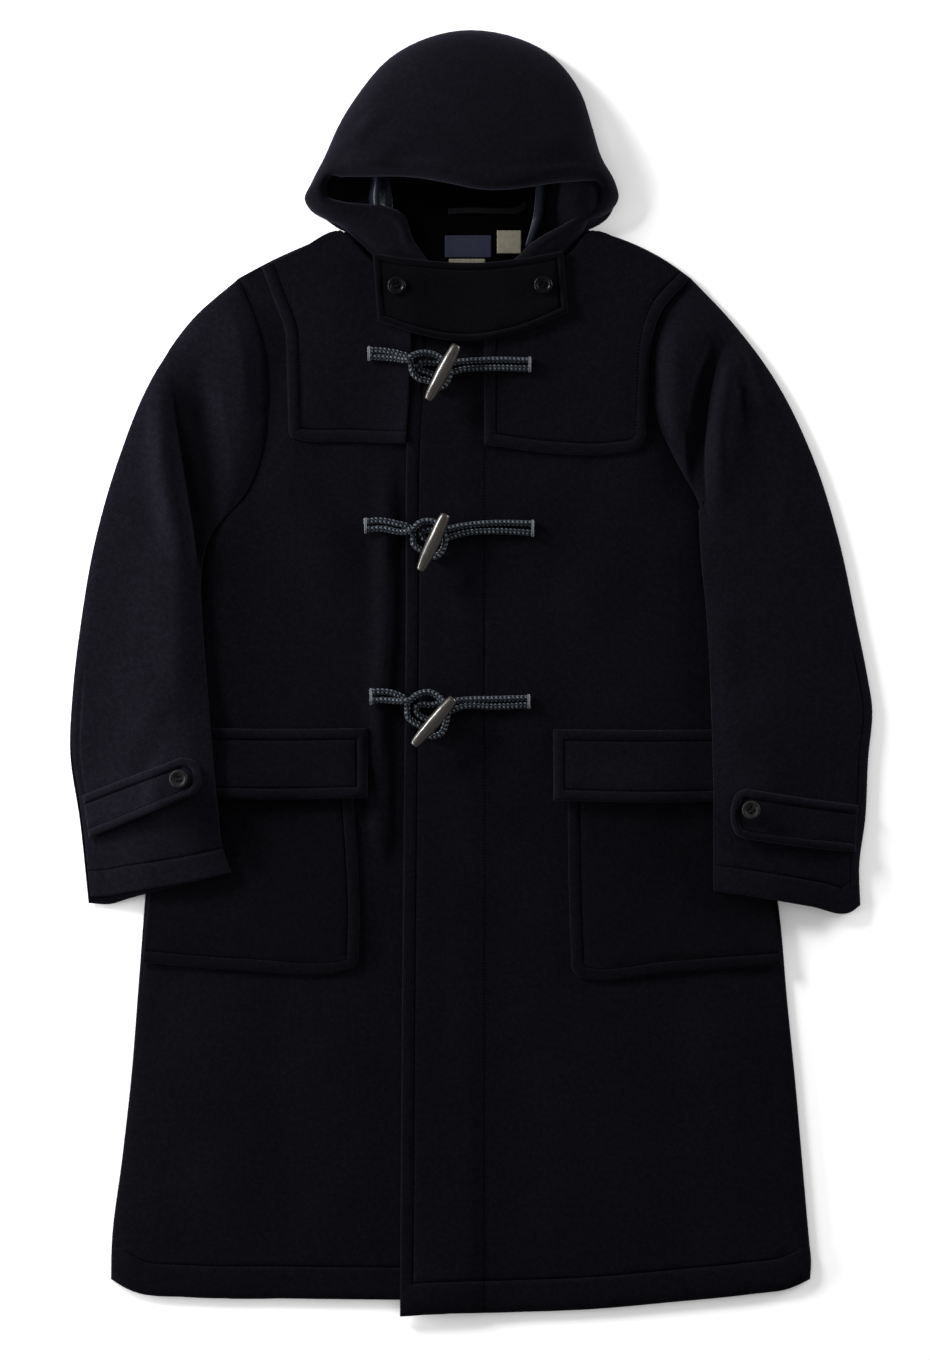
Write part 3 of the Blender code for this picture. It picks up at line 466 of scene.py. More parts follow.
def meshObject(name, vertices, faces, material, uv=None):
    mesh = bpy.data.meshes.new(name)
    mesh.from_pydata([tuple(vertex) for vertex in vertices], [], [tuple(face) for face in faces])
    if uv is not None:
        layer = mesh.uv_layers.new(name="UVMap")
        corners = np.empty(len(mesh.loops), int)
        mesh.loops.foreach_get("vertex_index", corners)
        layer.data.foreach_set("uv", np.asarray(uv, np.float32)[corners].ravel())
    mesh.materials.append(material)
    mesh.shade_smooth()
    return linked(name, mesh)


def outwards(thing, bevel=0.0):
    # turns every face outwards, and rounds the edges of the end caps by the bevel
    bm = bmesh.new()
    bm.from_mesh(thing.data)
    bmesh.ops.recalc_face_normals(bm, faces=bm.faces)
    if bevel:
        caps = [edge for face in bm.faces if len(face.verts) > 4 for edge in face.edges]
        bmesh.ops.bevel(bm, geom=caps, offset=bevel * mm, segments=3, affect="EDGES", profile=0.5)
    bm.to_mesh(thing.data)
    bm.free()
    thing.data.shade_smooth()


def finished(thing, name):
    # its mesh, as its modifiers leave it
    mesh = bpy.data.meshes.new_from_object(thing.evaluated_get(bpy.context.evaluated_depsgraph_get()))
    mesh.name = name
    return mesh


def gridFaces(rows, columns, start=0, flip=False):
    i, j = np.meshgrid(np.arange(rows - 1), np.arange(columns - 1), indexing="ij")
    a = (start + i * columns + j).ravel()
    faces = np.stack([a, a + 1, a + columns + 1, a + columns], axis=1)
    return faces[:, ::-1] if flip else faces


def shellObject(name, lower, upper, material):
    # a closed wall between two grids, which run east and then north
    rows, columns = lower.shape[:2]
    count = rows * columns
    rim = list(range(columns)) + [i * columns + columns - 1 for i in range(1, rows)]
    rim += [(rows - 1) * columns + j for j in range(columns - 2, -1, -1)]
    rim += [i * columns for i in range(rows - 2, 0, -1)]
    rim = np.array(rim)
    after = np.roll(rim, -1)
    sides = np.stack([rim, after, after + count, rim + count], axis=1)
    faces = np.concatenate([gridFaces(rows, columns, count), gridFaces(rows, columns, 0, True), sides])
    vertices = place(np.concatenate([lower.reshape(count, 3), upper.reshape(count, 3)]))
    return meshObject(name, vertices, faces, material)


shown = []        # every finished piece: object, nodes it stands for, slot, and its cut where it is cloth
stitchRows = []   # lines of sewing, in metres
inward = {"south": 1, "east": 1, "north": -1, "west": -1}
sideOrder = ("south", "north", "west", "east")
sewing = {"pitch": 3.4, "length": 2.4, "thread": 0.42, "sink": 0.12}


def keep(thing, nodes, slot, cut=None):
    shown.append((thing, nodes, slot, cut))


def cutOf(sides, restsOn, flatTall=None):
    # the flat piece: its width and length, and the area inside its outline
    south, north, west, east = (side.points for side in sides)
    loop = np.concatenate([south, east, north[::-1], west[::-1]])
    wide, tall = loop.max(axis=0) - loop.min(axis=0)
    area = abs(np.sum(loop[:, 0] * np.roll(loop[:, 1], -1) - loop[:, 1] * np.roll(loop[:, 0], -1))) / 2
    return wide * mm, (flatTall or tall) * mm, area * mm * mm, restsOn


def sewAlong(thing, lines):
    tree = BVHTree.FromPolygons([v.co[:] for v in thing.data.vertices],
                                [p.vertices[:] for p in thing.data.polygons])
    for line in lines:
        rows = []
        for across, up in evenly(line, sewing["pitch"]):
            x, y, _ = place((across, up, 0.0))
            hit = tree.ray_cast(Vector((x, y, 1.0)), Vector((0, 0, -1)))[0]
            if hit is not None:
                rows.append((x, y, hit.z + (sewing["thread"] - sewing["sink"]) * 0.5 * mm))
        if len(rows) > 2:
            stitchRows.append(rows)


def stitchLines(sides, stitch):
    lines = dict(zip(sideOrder, sides))
    rows = []
    for side, offset in stitch.items():
        points = evenly(lines[side].points, 3.0)
        moved = points + inward[side] * offset * leftHand(points)
        clear = np.ones(len(moved), bool)
        for other in sideOrder:
            if other != side:
                clear &= lines[other].distance(moved[None])[0] > stitch.get(other, 2.0) - 0.4
        if clear.sum() > 2:
            first, last = np.where(clear)[0][[0, -1]]
            rows.append(moved[first:last + 1])
    return rows


# What a piece of cloth is like where it says nothing else. It lies on the pile unless it has a base of its
# own. "guide" is the placket's distance from the west edge, and "flatTall" the length of its cut.
plainCloth = {"slot": "melton", "wall": melton, "spacing": 6.0, "reach": 3.0, "passes": 6, "gap": 0.3,
              "round": 1.7, "rim": 0.12, "uneven": 0.5, "unevenFrom": 25.0, "seed": 1.0, "folds": (),
              "foldsFrom": 12.0, "stitch": {}, "bulge": 1.2, "bulgePower": 0.8, "groove": 1.2,
              "grooveHalf": 1.1, "partSeam": {}, "partRange": (0.0, 1.0), "partFade": 0.06, "curl": {},
              "guide": None, "under": None, "base": None, "lift": None, "lean": None, "dark": 0.0,
              "flatTall": None}


def onSurface(points, distances):
    return np.zeros(points.shape[:2])


def wallOf(cloth, points, v, distances):
    # how thick it is: full between an edge and its stitching, and thin along every seam
    wall = np.full(v.shape, cloth["wall"])
    if cloth["stitch"]:
        seam = np.minimum.reduce([distances[side] - offset for side, offset in cloth["stitch"].items()])
        offset = max(cloth["stitch"].values())
        full = np.sin(np.pi * np.clip((seam + offset) / offset, 0, 1)) ** cloth["bulgePower"]
        wall += cloth["bulge"] * full
        wall -= cloth["groove"] * bell(seam, cloth["grooveHalf"])
    if cloth["guide"] is not None:
        wall -= cloth["groove"] * bell(EdgeLine(placket).distance(points), cloth["grooveHalf"])
    for side, offset in cloth["partSeam"].items():
        low, high = cloth["partRange"]
        along = smoothStep((v - low) / cloth["partFade"]) * smoothStep((high - v) / cloth["partFade"])
        wall -= cloth["groove"] * along * bell(distances[side] - offset, cloth["grooveHalf"])
    return wall


def layCloth(name, node, sides, material, restsOn, options):
    cloth = {**plainCloth, **options}
    sides = [side if isinstance(side, EdgeLine) else EdgeLine(side) for side in sides]
    points, u, v = clothGrid(sides, cloth)
    distances = dict(zip(sideOrder, (side.distance(points) for side in sides)))
    edge = np.minimum.reduce(list(distances.values()))
    if cloth["base"] is None:
        base = pile.settle(points, cloth["reach"], cloth["passes"], cloth["under"]) + cloth["gap"]
    else:
        base = cloth["base"](points, distances)
    if cloth["uneven"]:
        rough = cloth["uneven"] * (0.5 + unevenness(points, cloth["seed"]))
        base = base + rough * np.clip(edge / cloth["unevenFrom"], 0, 1)
    base = base + foldRise(points, cloth["folds"]) * np.clip(edge / cloth["foldsFrom"], 0, 1)
    if cloth["lift"] is not None:
        base = base + cloth["lift"](points, u, v)
    for side, (radius, drop) in cloth["curl"].items():
        base = base - drop * (1 - arc(1 - np.clip(distances[side] / radius, 0, 1)))
    base = np.maximum(base, 0.0)
    wall = wallOf(cloth, points, v, distances)
    swell = cloth["rim"] + (1 - cloth["rim"]) * arc(1 - np.clip(edge / cloth["round"], 0, 1))
    middle = base + wall / 2
    paintedShade = np.zeros(edge.shape)
    # painted shade: the colour darkens in the fold's hollow, as strongly as the dark setting says
    if cloth["lean"] is not None:
        paintedShade = cloth["dark"] * paintedShadeIn(points, cloth["lean"])
        points = leanOver(points, cloth["lean"])
    lower = np.concatenate([points, (middle - wall / 2 * swell)[..., None]], axis=2)
    upper = np.concatenate([points, (middle + wall / 2 * swell)[..., None]], axis=2)
    lower[..., 2] = np.maximum(lower[..., 2], 0.0)
    thing = shellObject(name, lower, upper, material)
    # the painted shade is kept on the mesh, so the melton finish can darken its colour
    marks = thing.data.attributes.new("paintedShade", "FLOAT", "POINT")
    marks.data.foreach_set("value", np.tile(paintedShade.ravel(), 2).astype(np.float32))
    pile.add(points, upper[..., 2])
    sewAlong(thing, stitchLines(sides, cloth["stitch"]))
    if cloth["guide"] is not None:
        sewAlong(thing, [EdgeLine(placket).points])
    keep(thing, [node], cloth["slot"], cutOf(sides, restsOn, cloth["flatTall"]))
    return points, upper[..., 2]


# Finishes.

def fillInputs(tree, node, inputs):
    # an input takes another node's output or a plain value
    for title, value in inputs.items():
        if isinstance(value, bpy.types.NodeSocket):
            tree.links.new(value, node.inputs[title])
        else:
            node.inputs[title].default_value = value


def addNode(tree, kind, inputs, settings):
    node = tree.nodes.new(kind)
    for title, value in settings.items():
        setattr(node, title, value)
    fillInputs(tree, node, inputs)
    return node


class Finish:
    # most methods add one node to the material and return its output
    def __init__(self, name, colour, roughness, specular, others=()):
        self.material = bpy.data.materials.new(name)
        self.material.use_nodes = True
        self.give({"Base Color": (*colour, 1.0), "Roughness": roughness, "Specular IOR Level": specular,
                   **dict(others)})

    def give(self, inputs):
        tree = self.material.node_tree
        fillInputs(tree, tree.nodes["Principled BSDF"], inputs)
        return self.material

    def node(self, kind, output, inputs, **settings):
        return addNode(self.material.node_tree, "ShaderNode" + kind, inputs, settings).outputs[output]

    def spot(self, output="Object", scale=None):
        # where on the piece a point lies, drawn out by the scale
        spot = self.node("TexCoord", output, {})
        return spot if scale is None else self.node("Mapping", "Vector", {"Vector": spot, "Scale": scale})

    def noise(self, scale, detail=2.0, rough=0.5, spot=None):
        spot = self.spot() if spot is None else spot
        return self.node("TexNoise", "Fac", {"Scale": scale, "Detail": detail, "Roughness": rough,
                                             "Vector": spot})

    def ramp(self, factor, *stops):
        # a stop is (position, colour), or (position, number) for a grey
        ramp = addNode(self.material.node_tree, "ShaderNodeValToRGB", {"Fac": factor}, {})
        elements = ramp.color_ramp.elements
        while len(elements) < len(stops):
            elements.new(0.5)
        for element, (position, colour) in zip(elements, stops):
            element.position = position
            element.color = (*colour, 1.0) if isinstance(colour, tuple) else (colour, colour, colour, 1.0)
        return ramp.outputs["Color"]

    def bump(self, height, strength, distance, others=()):
        return self.node("Bump", "Normal", {"Height": height, "Strength": strength, "Distance": distance,
                                            **dict(others)})

    def times(self, first, second):
        return self.node("Mix", "Result", {"Factor": 1.0, "A": first, "B": second},
                         data_type="RGBA", blend_type="MULTIPLY")

    def marks(self, name):
        return self.node("Attribute", "Fac", {}, attribute_name=name)


def tone(colour, times):
    return tuple(channel * times for channel in colour)


# Each kind of piece has a tone of its own, as the nap lies another way on it; the sleeves' tones are painted
# light as well, both lighter than the body and the wearer's right sleeve lightest, as it lies towards the
# lamps.
meltonCloth = {"colour": (0.0033, 0.0030, 0.0048), "roughness": 0.95, "sheen": 0.018, "specular": 0.02,
               "tint": (0.78, 0.70, 1.0, 1.0), "nap": 0.35, "grain": 700.0, "pills": 210.0, "blotch": 11.0}
napAndPaintedLightTones = {"body": 0.96, "tab": 0.42, "pocket": 0.74, "sleeveRight": 1.48, "sleeveLeft": 1.20, "hood": 0.96}
napSheens = {"hood": 0.036, "sleeveLeft": 0.024, "sleeveRight": 0.024}   # where it differs from the rest
# The cream label's colour is darkened with painted shade, as it lies in the shade of the neck.
linings = {"black": (0.0007, 0.0007, 0.0007), "satin": (0.0046, 0.0058, 0.0100),
           "blue": (0.0115, 0.0125, 0.026), "cream": (0.13, 0.12, 0.092)}
hornFinish = {"dark": (0.0045, 0.0034, 0.0028), "mid": (0.017, 0.0130, 0.0100),
              "pale": (0.045, 0.040, 0.034)}
cordFinish = {"base": (0.0020, 0.0034, 0.0060), "fleck": (0.075, 0.088, 0.104), "whip": (0.11, 0.115, 0.125)}


def makeMelton(name):
    cloth = meltonCloth
    colour = tone(cloth["colour"], napAndPaintedLightTones[name])
    finish = Finish("melton" + name.title(), colour, cloth["roughness"], cloth["specular"], {
        "Sheen Weight": napSheens.get(name, cloth["sheen"]), "Sheen Roughness": 0.5,
        "Sheen Tint": cloth["tint"]})
    blotch = finish.noise(cloth["blotch"], 3.0)
    grain = finish.noise(cloth["grain"], 3.0, 0.7)
    pills = finish.noise(cloth["pills"], 2.0, 0.6)
    shade = finish.ramp(blotch, (0.3, tone(colour, 0.90)), (0.7, tone(colour, 1.10)))
    fleck = finish.ramp(grain, (0.32, (0.40, 0.40, 0.42)), (0.68, 1.0))
    lint = finish.ramp(pills, (0.36, 0.66), (0.66, 1.0))
    # painted shade: the colour darkens in the deep underarm folds
    paintedFoldShade = finish.ramp(finish.marks("paintedShade"), (0.0, 1.0), (1.0, (0.25, 0.25, 0.27)))
    worn = finish.times(finish.times(shade, fleck), lint)
    pilled = finish.bump(pills, cloth["nap"], 0.0006)
    return finish.give({"Base Color": finish.times(worn, paintedFoldShade),
                        "Normal": finish.bump(grain, cloth["nap"], 0.0003, {"Normal": pilled})})


def makeSatin():
    finish = Finish("satin", linings["satin"], 0.30, 0.09, {"Anisotropic": 0.4})
    fine = finish.noise(1.0, 1.0, 0.5, finish.spot(scale=(300.0, 2600.0, 900.0)))
    return finish.give({"Normal": finish.bump(fine, 0.10, 0.0002)})


def makeLabel(name, colour):
    # a woven ribbon: fine weft lines across, with nothing woven in
    finish = Finish(name, colour, 0.75, 0.1)
    weft = finish.node("TexWave", "Fac", {"Scale": 420.0, "Distortion": 0.6, "Vector": finish.spot()},
                       bands_direction="Y")
    worn = finish.ramp(weft, (0.2, tone(colour, 0.80)), (0.8, tone(colour, 1.10)))
    soft = finish.ramp(finish.noise(180.0), (0.3, 0.82), (0.7, 1.0))
    return finish.give({"Base Color": finish.times(worn, soft), "Normal": finish.bump(weft, 0.35, 0.0002)})


def makeHorn():
    # streaks run along the toggle: u goes round it and v along it
    finish = Finish("horn", hornFinish["mid"], 0.30, 0.42, {"Coat Weight": 0.15, "Coat Roughness": 0.12})
    streaks = finish.noise(1.0, 5.0, 0.6, finish.spot("UV", (14.0, 1.6, 1.0)))
    clouds = finish.noise(1.0, 2.0, 0.5, finish.spot("UV", (3.0, 2.2, 1.0)))
    fine = finish.noise(1.0, 2.0, 0.5, finish.spot("UV", (60.0, 3.0, 1.0)))
    colour = finish.ramp(streaks, (0.28, hornFinish["dark"]), (0.52, hornFinish["mid"]),
                         (0.74, hornFinish["pale"]))
    shade = finish.ramp(clouds, (0.3, (0.62, 0.62, 0.64)), (0.7, (1.0, 0.98, 0.95)))
    return finish.give({"Base Color": finish.times(colour, shade), "Normal": finish.bump(fine, 0.12, 0.0003),
                        "Roughness": finish.ramp(streaks, (0.3, 0.24), (0.7, 0.40))})


def makeBraid():
    # "over" is 1 where a strand passes on top of its neighbour and -1 where it dives under; the colour
    # follows it, so shade is painted where a strand dives under
    finish = Finish("braid", cordFinish["base"], 0.75, 0.12, {"Sheen Weight": 0.05, "Sheen Roughness": 0.5})
    fleck = finish.ramp(finish.marks("over"), (0.10, cordFinish["base"]), (0.75, cordFinish["fleck"]))
    uneven = finish.ramp(finish.noise(330.0, 2.0, 0.6), (0.36, (0.28, 0.33, 0.40)), (0.60, 1.0))
    return finish.give({"Base Color": finish.times(fleck, uneven),
                        "Normal": finish.bump(finish.noise(2200.0), 0.4, 0.0002)})


def makePlain(name, colour, scale=3000.0, strength=0.4, distance=0.0001):
    # thread, tape and lining: one colour, with a fine grain
    finish = Finish(name, colour, 0.8, 0.0)
    return finish.give({"Normal": finish.bump(finish.noise(scale, 1.0), strength, distance)})


def makeButtonFinish(name, colour, gloss, roughness):
    finish = Finish(name, colour, roughness, gloss)
    clouds = finish.noise(300.0, 3.0)
    return finish.give({"Base Color": finish.ramp(clouds, (0.3, tone(colour, 0.6)), (0.7, tone(colour, 1.4))),
                        "Roughness": finish.ramp(clouds, (0.3, roughness - 0.06), (0.7, roughness + 0.06))})


meltons = {name: makeMelton(name) for name in napAndPaintedLightTones}
liningFinish, satinFinish = makePlain("neckLining", linings["black"], 1400.0, 0.3, 0.0003), makeSatin()
blueFinish, creamFinish = makeLabel("blueLabel", linings["blue"]), makeLabel("creamLabel", linings["cream"])
hornMaterial, braidFinish = makeHorn(), makeBraid()
tabButtonFinish = makeButtonFinish("tabButton", (0.0016, 0.0016, 0.0022), 0.06, 0.28)
cuffButtonFinish = makeButtonFinish("cuffButton", (0.0095, 0.0095, 0.010), 0.05, 0.42)
seamThread = makePlain("seamThread", (0.0010, 0.0009, 0.0015))
whipThread = makePlain("whipThread", cordFinish["whip"])
tapeFinish = makePlain("tape", (0.0040, 0.0040, 0.0046))
print("finishes made")


# The body.

bodyCloth = {"seamStitch": 12.5, "hemStitch": 33.0, "sideCurl": (14.0, 3.4), "hemCurl": (9.0, 2.2),
             "fullness": 1.8, "sewnUnder": 5.0, "inset": 2.5, "neckOut": 0.9, "edgeFull": 1.8,
             "edgeWide": 45.0}
bodyFolds = [(-195, 860, -120, 700, 45, 1.8), (175, 860, 110, 690, 45, 1.8), (-250, 330, -230, 40, 60, 1.8),
             (-150, 420, -130, 60, 55, 1.4), (150, 330, 165, 40, 60, 1.7), (250, 320, 270, 60, 55, 1.8),
             (45, 780, 60, 560, 40, 1.2), (90, 250, 105, 60, 42, 1.4), (-295, 720, -285, 600, 30, 1.6)]


def makeBack():
    sewn, inset, neckOut = bodyCloth["sewnUnder"], bodyCloth["inset"], bodyCloth["neckOut"]
    top = [shoulderRight[:-1] + backNeck[:1], backNeck, backNeck[-1:] + shoulderLeft[::-1][1:]]
    sides = (hemBack, EdgeLine(top, aside=[-inset, neckOut, -inset]),
             EdgeLine([sideRight, armholeRight], aside=[-inset, sewn]),
             EdgeLine([sideLeft, armholeLeft], aside=[inset, -sewn]))
    layCloth("backPanel", "back", sides, meltons["body"], [],
             {"spacing": 12.0, "uneven": 0.0, "base": onSurface})


# The right front dips along the left front's edge, under the fastenings.
besidePlacket = {"line": [(-70, 870), (-72, 760), (-73, 680), (-78, 610), (-78, 540), (-78, 430)], "hand": 1,
                 "crest": 4.2, "back": 12.0, "half": 10.0, "steep": 6.0, "floor": 60.0, "slow": 30.0,
                 "fadeIn": 0.25, "fadeOut": 0.12, "return": 1.0, "lean": 0.8, "calm": 0.16}


def frontFullness(points, u, v):
    return (bodyCloth["fullness"] * smoothStep(np.minimum(u, 1 - u) / 0.2)
            * smoothStep(np.minimum(v, 1 - v) / 0.1))


def rightFullness(points, u, v):
    crest, valley, _, _, _ = foldEdge(points, besidePlacket)
    return (frontFullness(points, u, v) + crest) * (1 - valley)


def leftFullness(points, u, v):
    edge = EdgeLine(frontEdge).distance(points)
    full = bodyCloth["edgeFull"] * (1 - smoothStep(edge / bodyCloth["edgeWide"]))
    return frontFullness(points, u, v) + full * smoothStep(v / 0.2)


def makeFronts():
    options = {"uneven": 1.2, "folds": bodyFolds}
    hem, side, stitch = bodyCloth["hemCurl"], bodyCloth["sideCurl"], bodyCloth["hemStitch"]
    layCloth("frontRight", "front_right",
             (hemRight, [shoulderRight, necklineRight], [sideRight, armholeRight], hiddenFrontEdge),
             meltons["body"], ["backPanel"],
             {**options, "seed": 3.0, "spacing": 5.0, "curl": {"south": hem, "west": side},
              "lift": rightFullness, "lean": besidePlacket, "stitch": {"south": stitch}, "bulge": 0.5})
    layCloth("frontLeft", "front_left",
             (hemLeft, [necklineLeft, shoulderLeft[::-1]], frontEdge, [sideLeft, armholeLeft]),
             meltons["body"], ["backPanel", "frontRight"],
             {**options, "seed": 7.0, "curl": {"south": hem, "east": side}, "lift": leftFullness,
              "guide": 83.0, "stitch": {"south": stitch, "west": bodyCloth["seamStitch"]}, "bulge": 1.0})


# The hood.

hoodCloth = {"steps": 4, "rings": 46, "rollSteps": 12, "rollRadius": 9.5, "lipRadius": 4.2, "wall": 3.0,
             "turn": 2.3, "cut": (0.42, 0.40), "uneven": 1.4, "edgeRidge": 2.5, "ridgeBack": 2.5,
             "ridgeHalf": 4.2, "lipTaper": (0.95, 0.72, 0.25), "inset": 3.0, "baseInset": 0.6}
hoodFolds = [(-124, 1154, -80, 1152, 13, 4.2), (-118, 1172, -92, 1196, 13, 2.6),
             (-105, 1196, -88, 1236, 22, 1.4), (70, 1160, 105, 1176, 22, 1.6), (-20, 1180, 30, 1174, 30, 1.2),
             (-84, 1156, -20, 1160, 16, -1.6)]
hoodBackFolds = [(117, 1142, 112, 1088, 36, 20.0), (-133, 1146, -139, 1112, 16, 7.0)]


def hoodPath(rim, face, rise, radius):
    # one section in its own plane: a quarter ellipse that rolls over at the face edge
    width = np.linalg.norm(rim - face)
    angles = np.linspace(0, math.pi / 2, hoodCloth["rings"] + 1)
    run = np.stack([width * (1 - np.cos(angles)), rise * np.sin(angles)], axis=1)
    ridge = hoodCloth["edgeRidge"] * min(1.0, width / 60.0)
    run[:, 1] += ridge * bell(width - run[:, 0] - hoodCloth["ridgeBack"], hoodCloth["ridgeHalf"])
    rise = run[-1, 1]
    turns = np.linspace(0, hoodCloth["turn"], hoodCloth["rollSteps"] + 1)[1:]
    roll = np.stack([width + radius * np.sin(turns), rise - radius * (1 - np.cos(turns))], axis=1)
    return np.concatenate([run, roll])


def makeHood():
    lower, upper = [], []
    for row in smoothRun(hoodSections, hoodCloth["steps"]):
        rim, face, rise = row[:2], row[2:4], row[4]
        high = np.clip((rise - 14) / 16, 0, 1)
        radius = hoodCloth["lipRadius"] * (1 - high) + hoodCloth["rollRadius"] * high
        path = hoodPath(rim, face, rise + hoodCloth["wall"] / 2, radius)
        out = leftHand(path)
        half = np.full(len(path), hoodCloth["wall"] / 2)
        half[-3:] *= np.array(hoodCloth["lipTaper"])
        flat = (face - rim) / np.linalg.norm(face - rim)
        for store, sign in ((lower, -1), (upper, 1)):
            section = path + sign * out * half[:, None]
            store.append(np.column_stack([rim + section[:, :1] * flat, melton + 0.4 + section[:, 1]]))
    lower, upper = np.array(lower).transpose(1, 0, 2), np.array(upper).transpose(1, 0, 2)
    lower[..., 2], upper[..., 2] = np.maximum(lower[..., 2], 0.2), np.maximum(upper[..., 2], 0.4)
    swell = hoodCloth["uneven"] * unevenness(upper[..., :2], 11.0, ((70.0, 1.0), (26.0, 0.4)))
    swell = (swell + foldRise(upper[..., :2], hoodFolds)) * np.clip((upper[..., 2] - 8) / 20, 0, 1)
    lower[..., 2] += swell
    upper[..., 2] += swell
    thing = shellObject("hoodCloth", lower, upper, meltons["hood"])
    area = sum(face.area for face in thing.data.polygons) / 2
    wide, tall = hoodCloth["cut"]
    keep(thing, ["hood"], "melton", (wide, tall, min(area, wide * tall), ["hoodBack", *fronts]))
    pile.add(upper[..., :2], upper[..., 2])


def makeHoodBack():
    inset, baseInset = hoodCloth["inset"], hoodCloth["baseInset"]
    sides = (EdgeLine(hoodBase, aside=-baseInset), EdgeLine(hoodCrest, aside=-inset),
             EdgeLine(hoodWest, aside=-inset), EdgeLine(hoodEast, aside=inset))
    layCloth("hoodBack", "hood_back", sides, meltons["hood"], [],
             {"spacing": 4.0, "uneven": 0.0, "folds": hoodBackFolds, "base": onSurface})


# The satin stands in two curtains: (rise, where across it is fullest, waves, their height).
neckPieces = {"curtainRight": (12.0, 0.70, 3.0, 1.2), "curtainLeft": (4.0, 0.6, 2.0, 0.6), "lining": 1.5,
              "satin": 1.2, "label": 0.9, "loop": 1.6, "loopLift": 2.5, "outFall": 0.24, "inFall": 0.42}


def hung(rise, crest, folds, ripple, outer):
    # the lining falls off from its crest to both sides
    def lift(points, u, v):
        side = outer(u)
        waves = ripple * np.sin(folds * side * math.pi + 2.0 * v) * np.clip(1 - side, 0, 1)
        fall = np.where(side > crest, neckPieces["outFall"], neckPieces["inFall"])
        return (rise * bell(side - crest, fall) + waves) * np.clip(v * 2.4, 0, 1)
    return lift


def makeNeck():
    below = ["backPanel", "hoodBack"]
    layCloth("neckLiningCloth", "neck_lining", neckLining, liningFinish, below,
             {"slot": "neck_lining", "wall": neckPieces["lining"], "round": 0.7, "spacing": 5.0,
              "seed": 21.0})
    for side, table, outer in (("right", hoodLiningRight, lambda u: 1 - u),
                               ("left", hoodLiningLeft, lambda u: u)):
        lift = hung(*neckPieces["curtain" + side.title()], outer)
        layCloth("satin" + side.title(), "hood_lining_" + side, table, satinFinish, below,
                 {"slot": "satin_lining", "wall": neckPieces["satin"], "round": 0.6, "uneven": 0.0,
                  "spacing": 1.2, "lift": lift})
    layCloth("hangerTape", "hanger_loop", hangerLoop, tapeFinish, ["neckLiningCloth"],
             {"slot": "neck_lining", "wall": neckPieces["loop"], "round": 0.7, "uneven": 0.0, "spacing": 2.0,
              "flatTall": 12.0, "lift": lambda points, u, v: neckPieces["loopLift"] * np.sin(np.pi * u)})
    for name, west, south, east, north, finish, slot, flatTall in (
            ("Main", -25, 1058, 21, 1080, blueFinish, "blue_label", None),
            ("Side", 27, 1062, 51, 1085, creamFinish, "cream_label", None),
            ("Size", -21, 1047, 15, 1056.5, creamFinish, "cream_label", 10.0)):
        corners = straightEnds([(west, south), (east, south)], [(west, north), (east, north)])
        layCloth("label" + name, "label_" + name.lower(), corners, finish, ["neckLiningCloth"],
                 {"slot": slot, "wall": neckPieces["label"], "round": 0.4, "uneven": 0.3, "spacing": 2.5,
                  "reach": 1.5, "seed": 41.0, "flatTall": flatTall})


# Pieces sewn on the fronts.

sewnOn = {"yoke": 12.0, "pocket": 12.0, "flap": 11.0, "tab": 7.0, "strap": 9.0}
fronts = ["frontRight", "frontLeft"]


def freeEdge(rise, share, waves=0.0):
    # the lower edge of a piece that is sewn at its top or ends stands a little proud, not everywhere the same
    return lambda points, u, v: rise * (1 - smoothStep(v / share)) * (
        1 + waves * np.sin(points[..., 0] / 21.0) * np.sin(np.pi * u))


def sewOn(piece, side, table, nap, stitched, restsOn, options):
    # for example flapRight, which stands for flap_right and is stitched as sewnOn["flap"] says
    layCloth(piece + side.title(), piece + "_" + side, table, meltons[nap], restsOn,
             {"stitch": dict.fromkeys(stitched, sewnOn[piece]), **options})


def makeYokes():
    sewOn("yoke", "right", yokeRight, "body", ("west", "south"), fronts[:1], {"seed": 51.0})
    sewOn("yoke", "left", yokeLeft, "body", ("west", "east", "south"), fronts, {"seed": 53.0})


def makeTab():
    layCloth("throatTab", "throat_tab", throatTab, meltons["tab"],
             ["frontLeft", "yokeRight", "yokeLeft", "hoodCloth"],
             {"stitch": dict.fromkeys(sideOrder, sewnOn["tab"]), "spacing": 4.0, "reach": 5.0, "seed": 55.0,
              "gap": 0.6, "passes": 9, "lift": freeEdge(2.4, 0.6)})


def makePockets():
    for side, opening, pocket, flap, seed in (("right", "east", pocketRight, flapRight, 61.0),
                                              ("left", "west", pocketLeft, flapLeft, 63.0)):
        sewOn("pocket", side, pocket, "pocket", (opening, "south"), fronts,
              {"seed": seed, "uneven": 1.0, "bulge": 0.7, "groove": 0.9})
        sewOn("flap", side, flap, "body", (opening, "south", "north"), fronts + ["pocket" + side.title()],
              {"seed": seed + 4, "reach": 5.0, "passes": 8, "curl": {opening: (22.0, 3.0)},
               "lift": freeEdge(5.2, 0.7, 0.4)})


# The sleeves.

sleeveCloth = {"underCurl": (10.0, -2.6), "topCurl": (12.0, 3.6), "innerLoss": 0.60, "innerRound": 24.0,
               "overLoss": 0.5, "seamDip": (11.0, 3.4), "armholeDip": 2.8, "seamLap": 1.4, "cuffStitch": 26.0,
               "underarmUp": 785.0, "backSeam": 10.0, "strapCurl": (36.0, 5.5),
               "cuffFlat": 0.60, "cuffRise": 90.0}
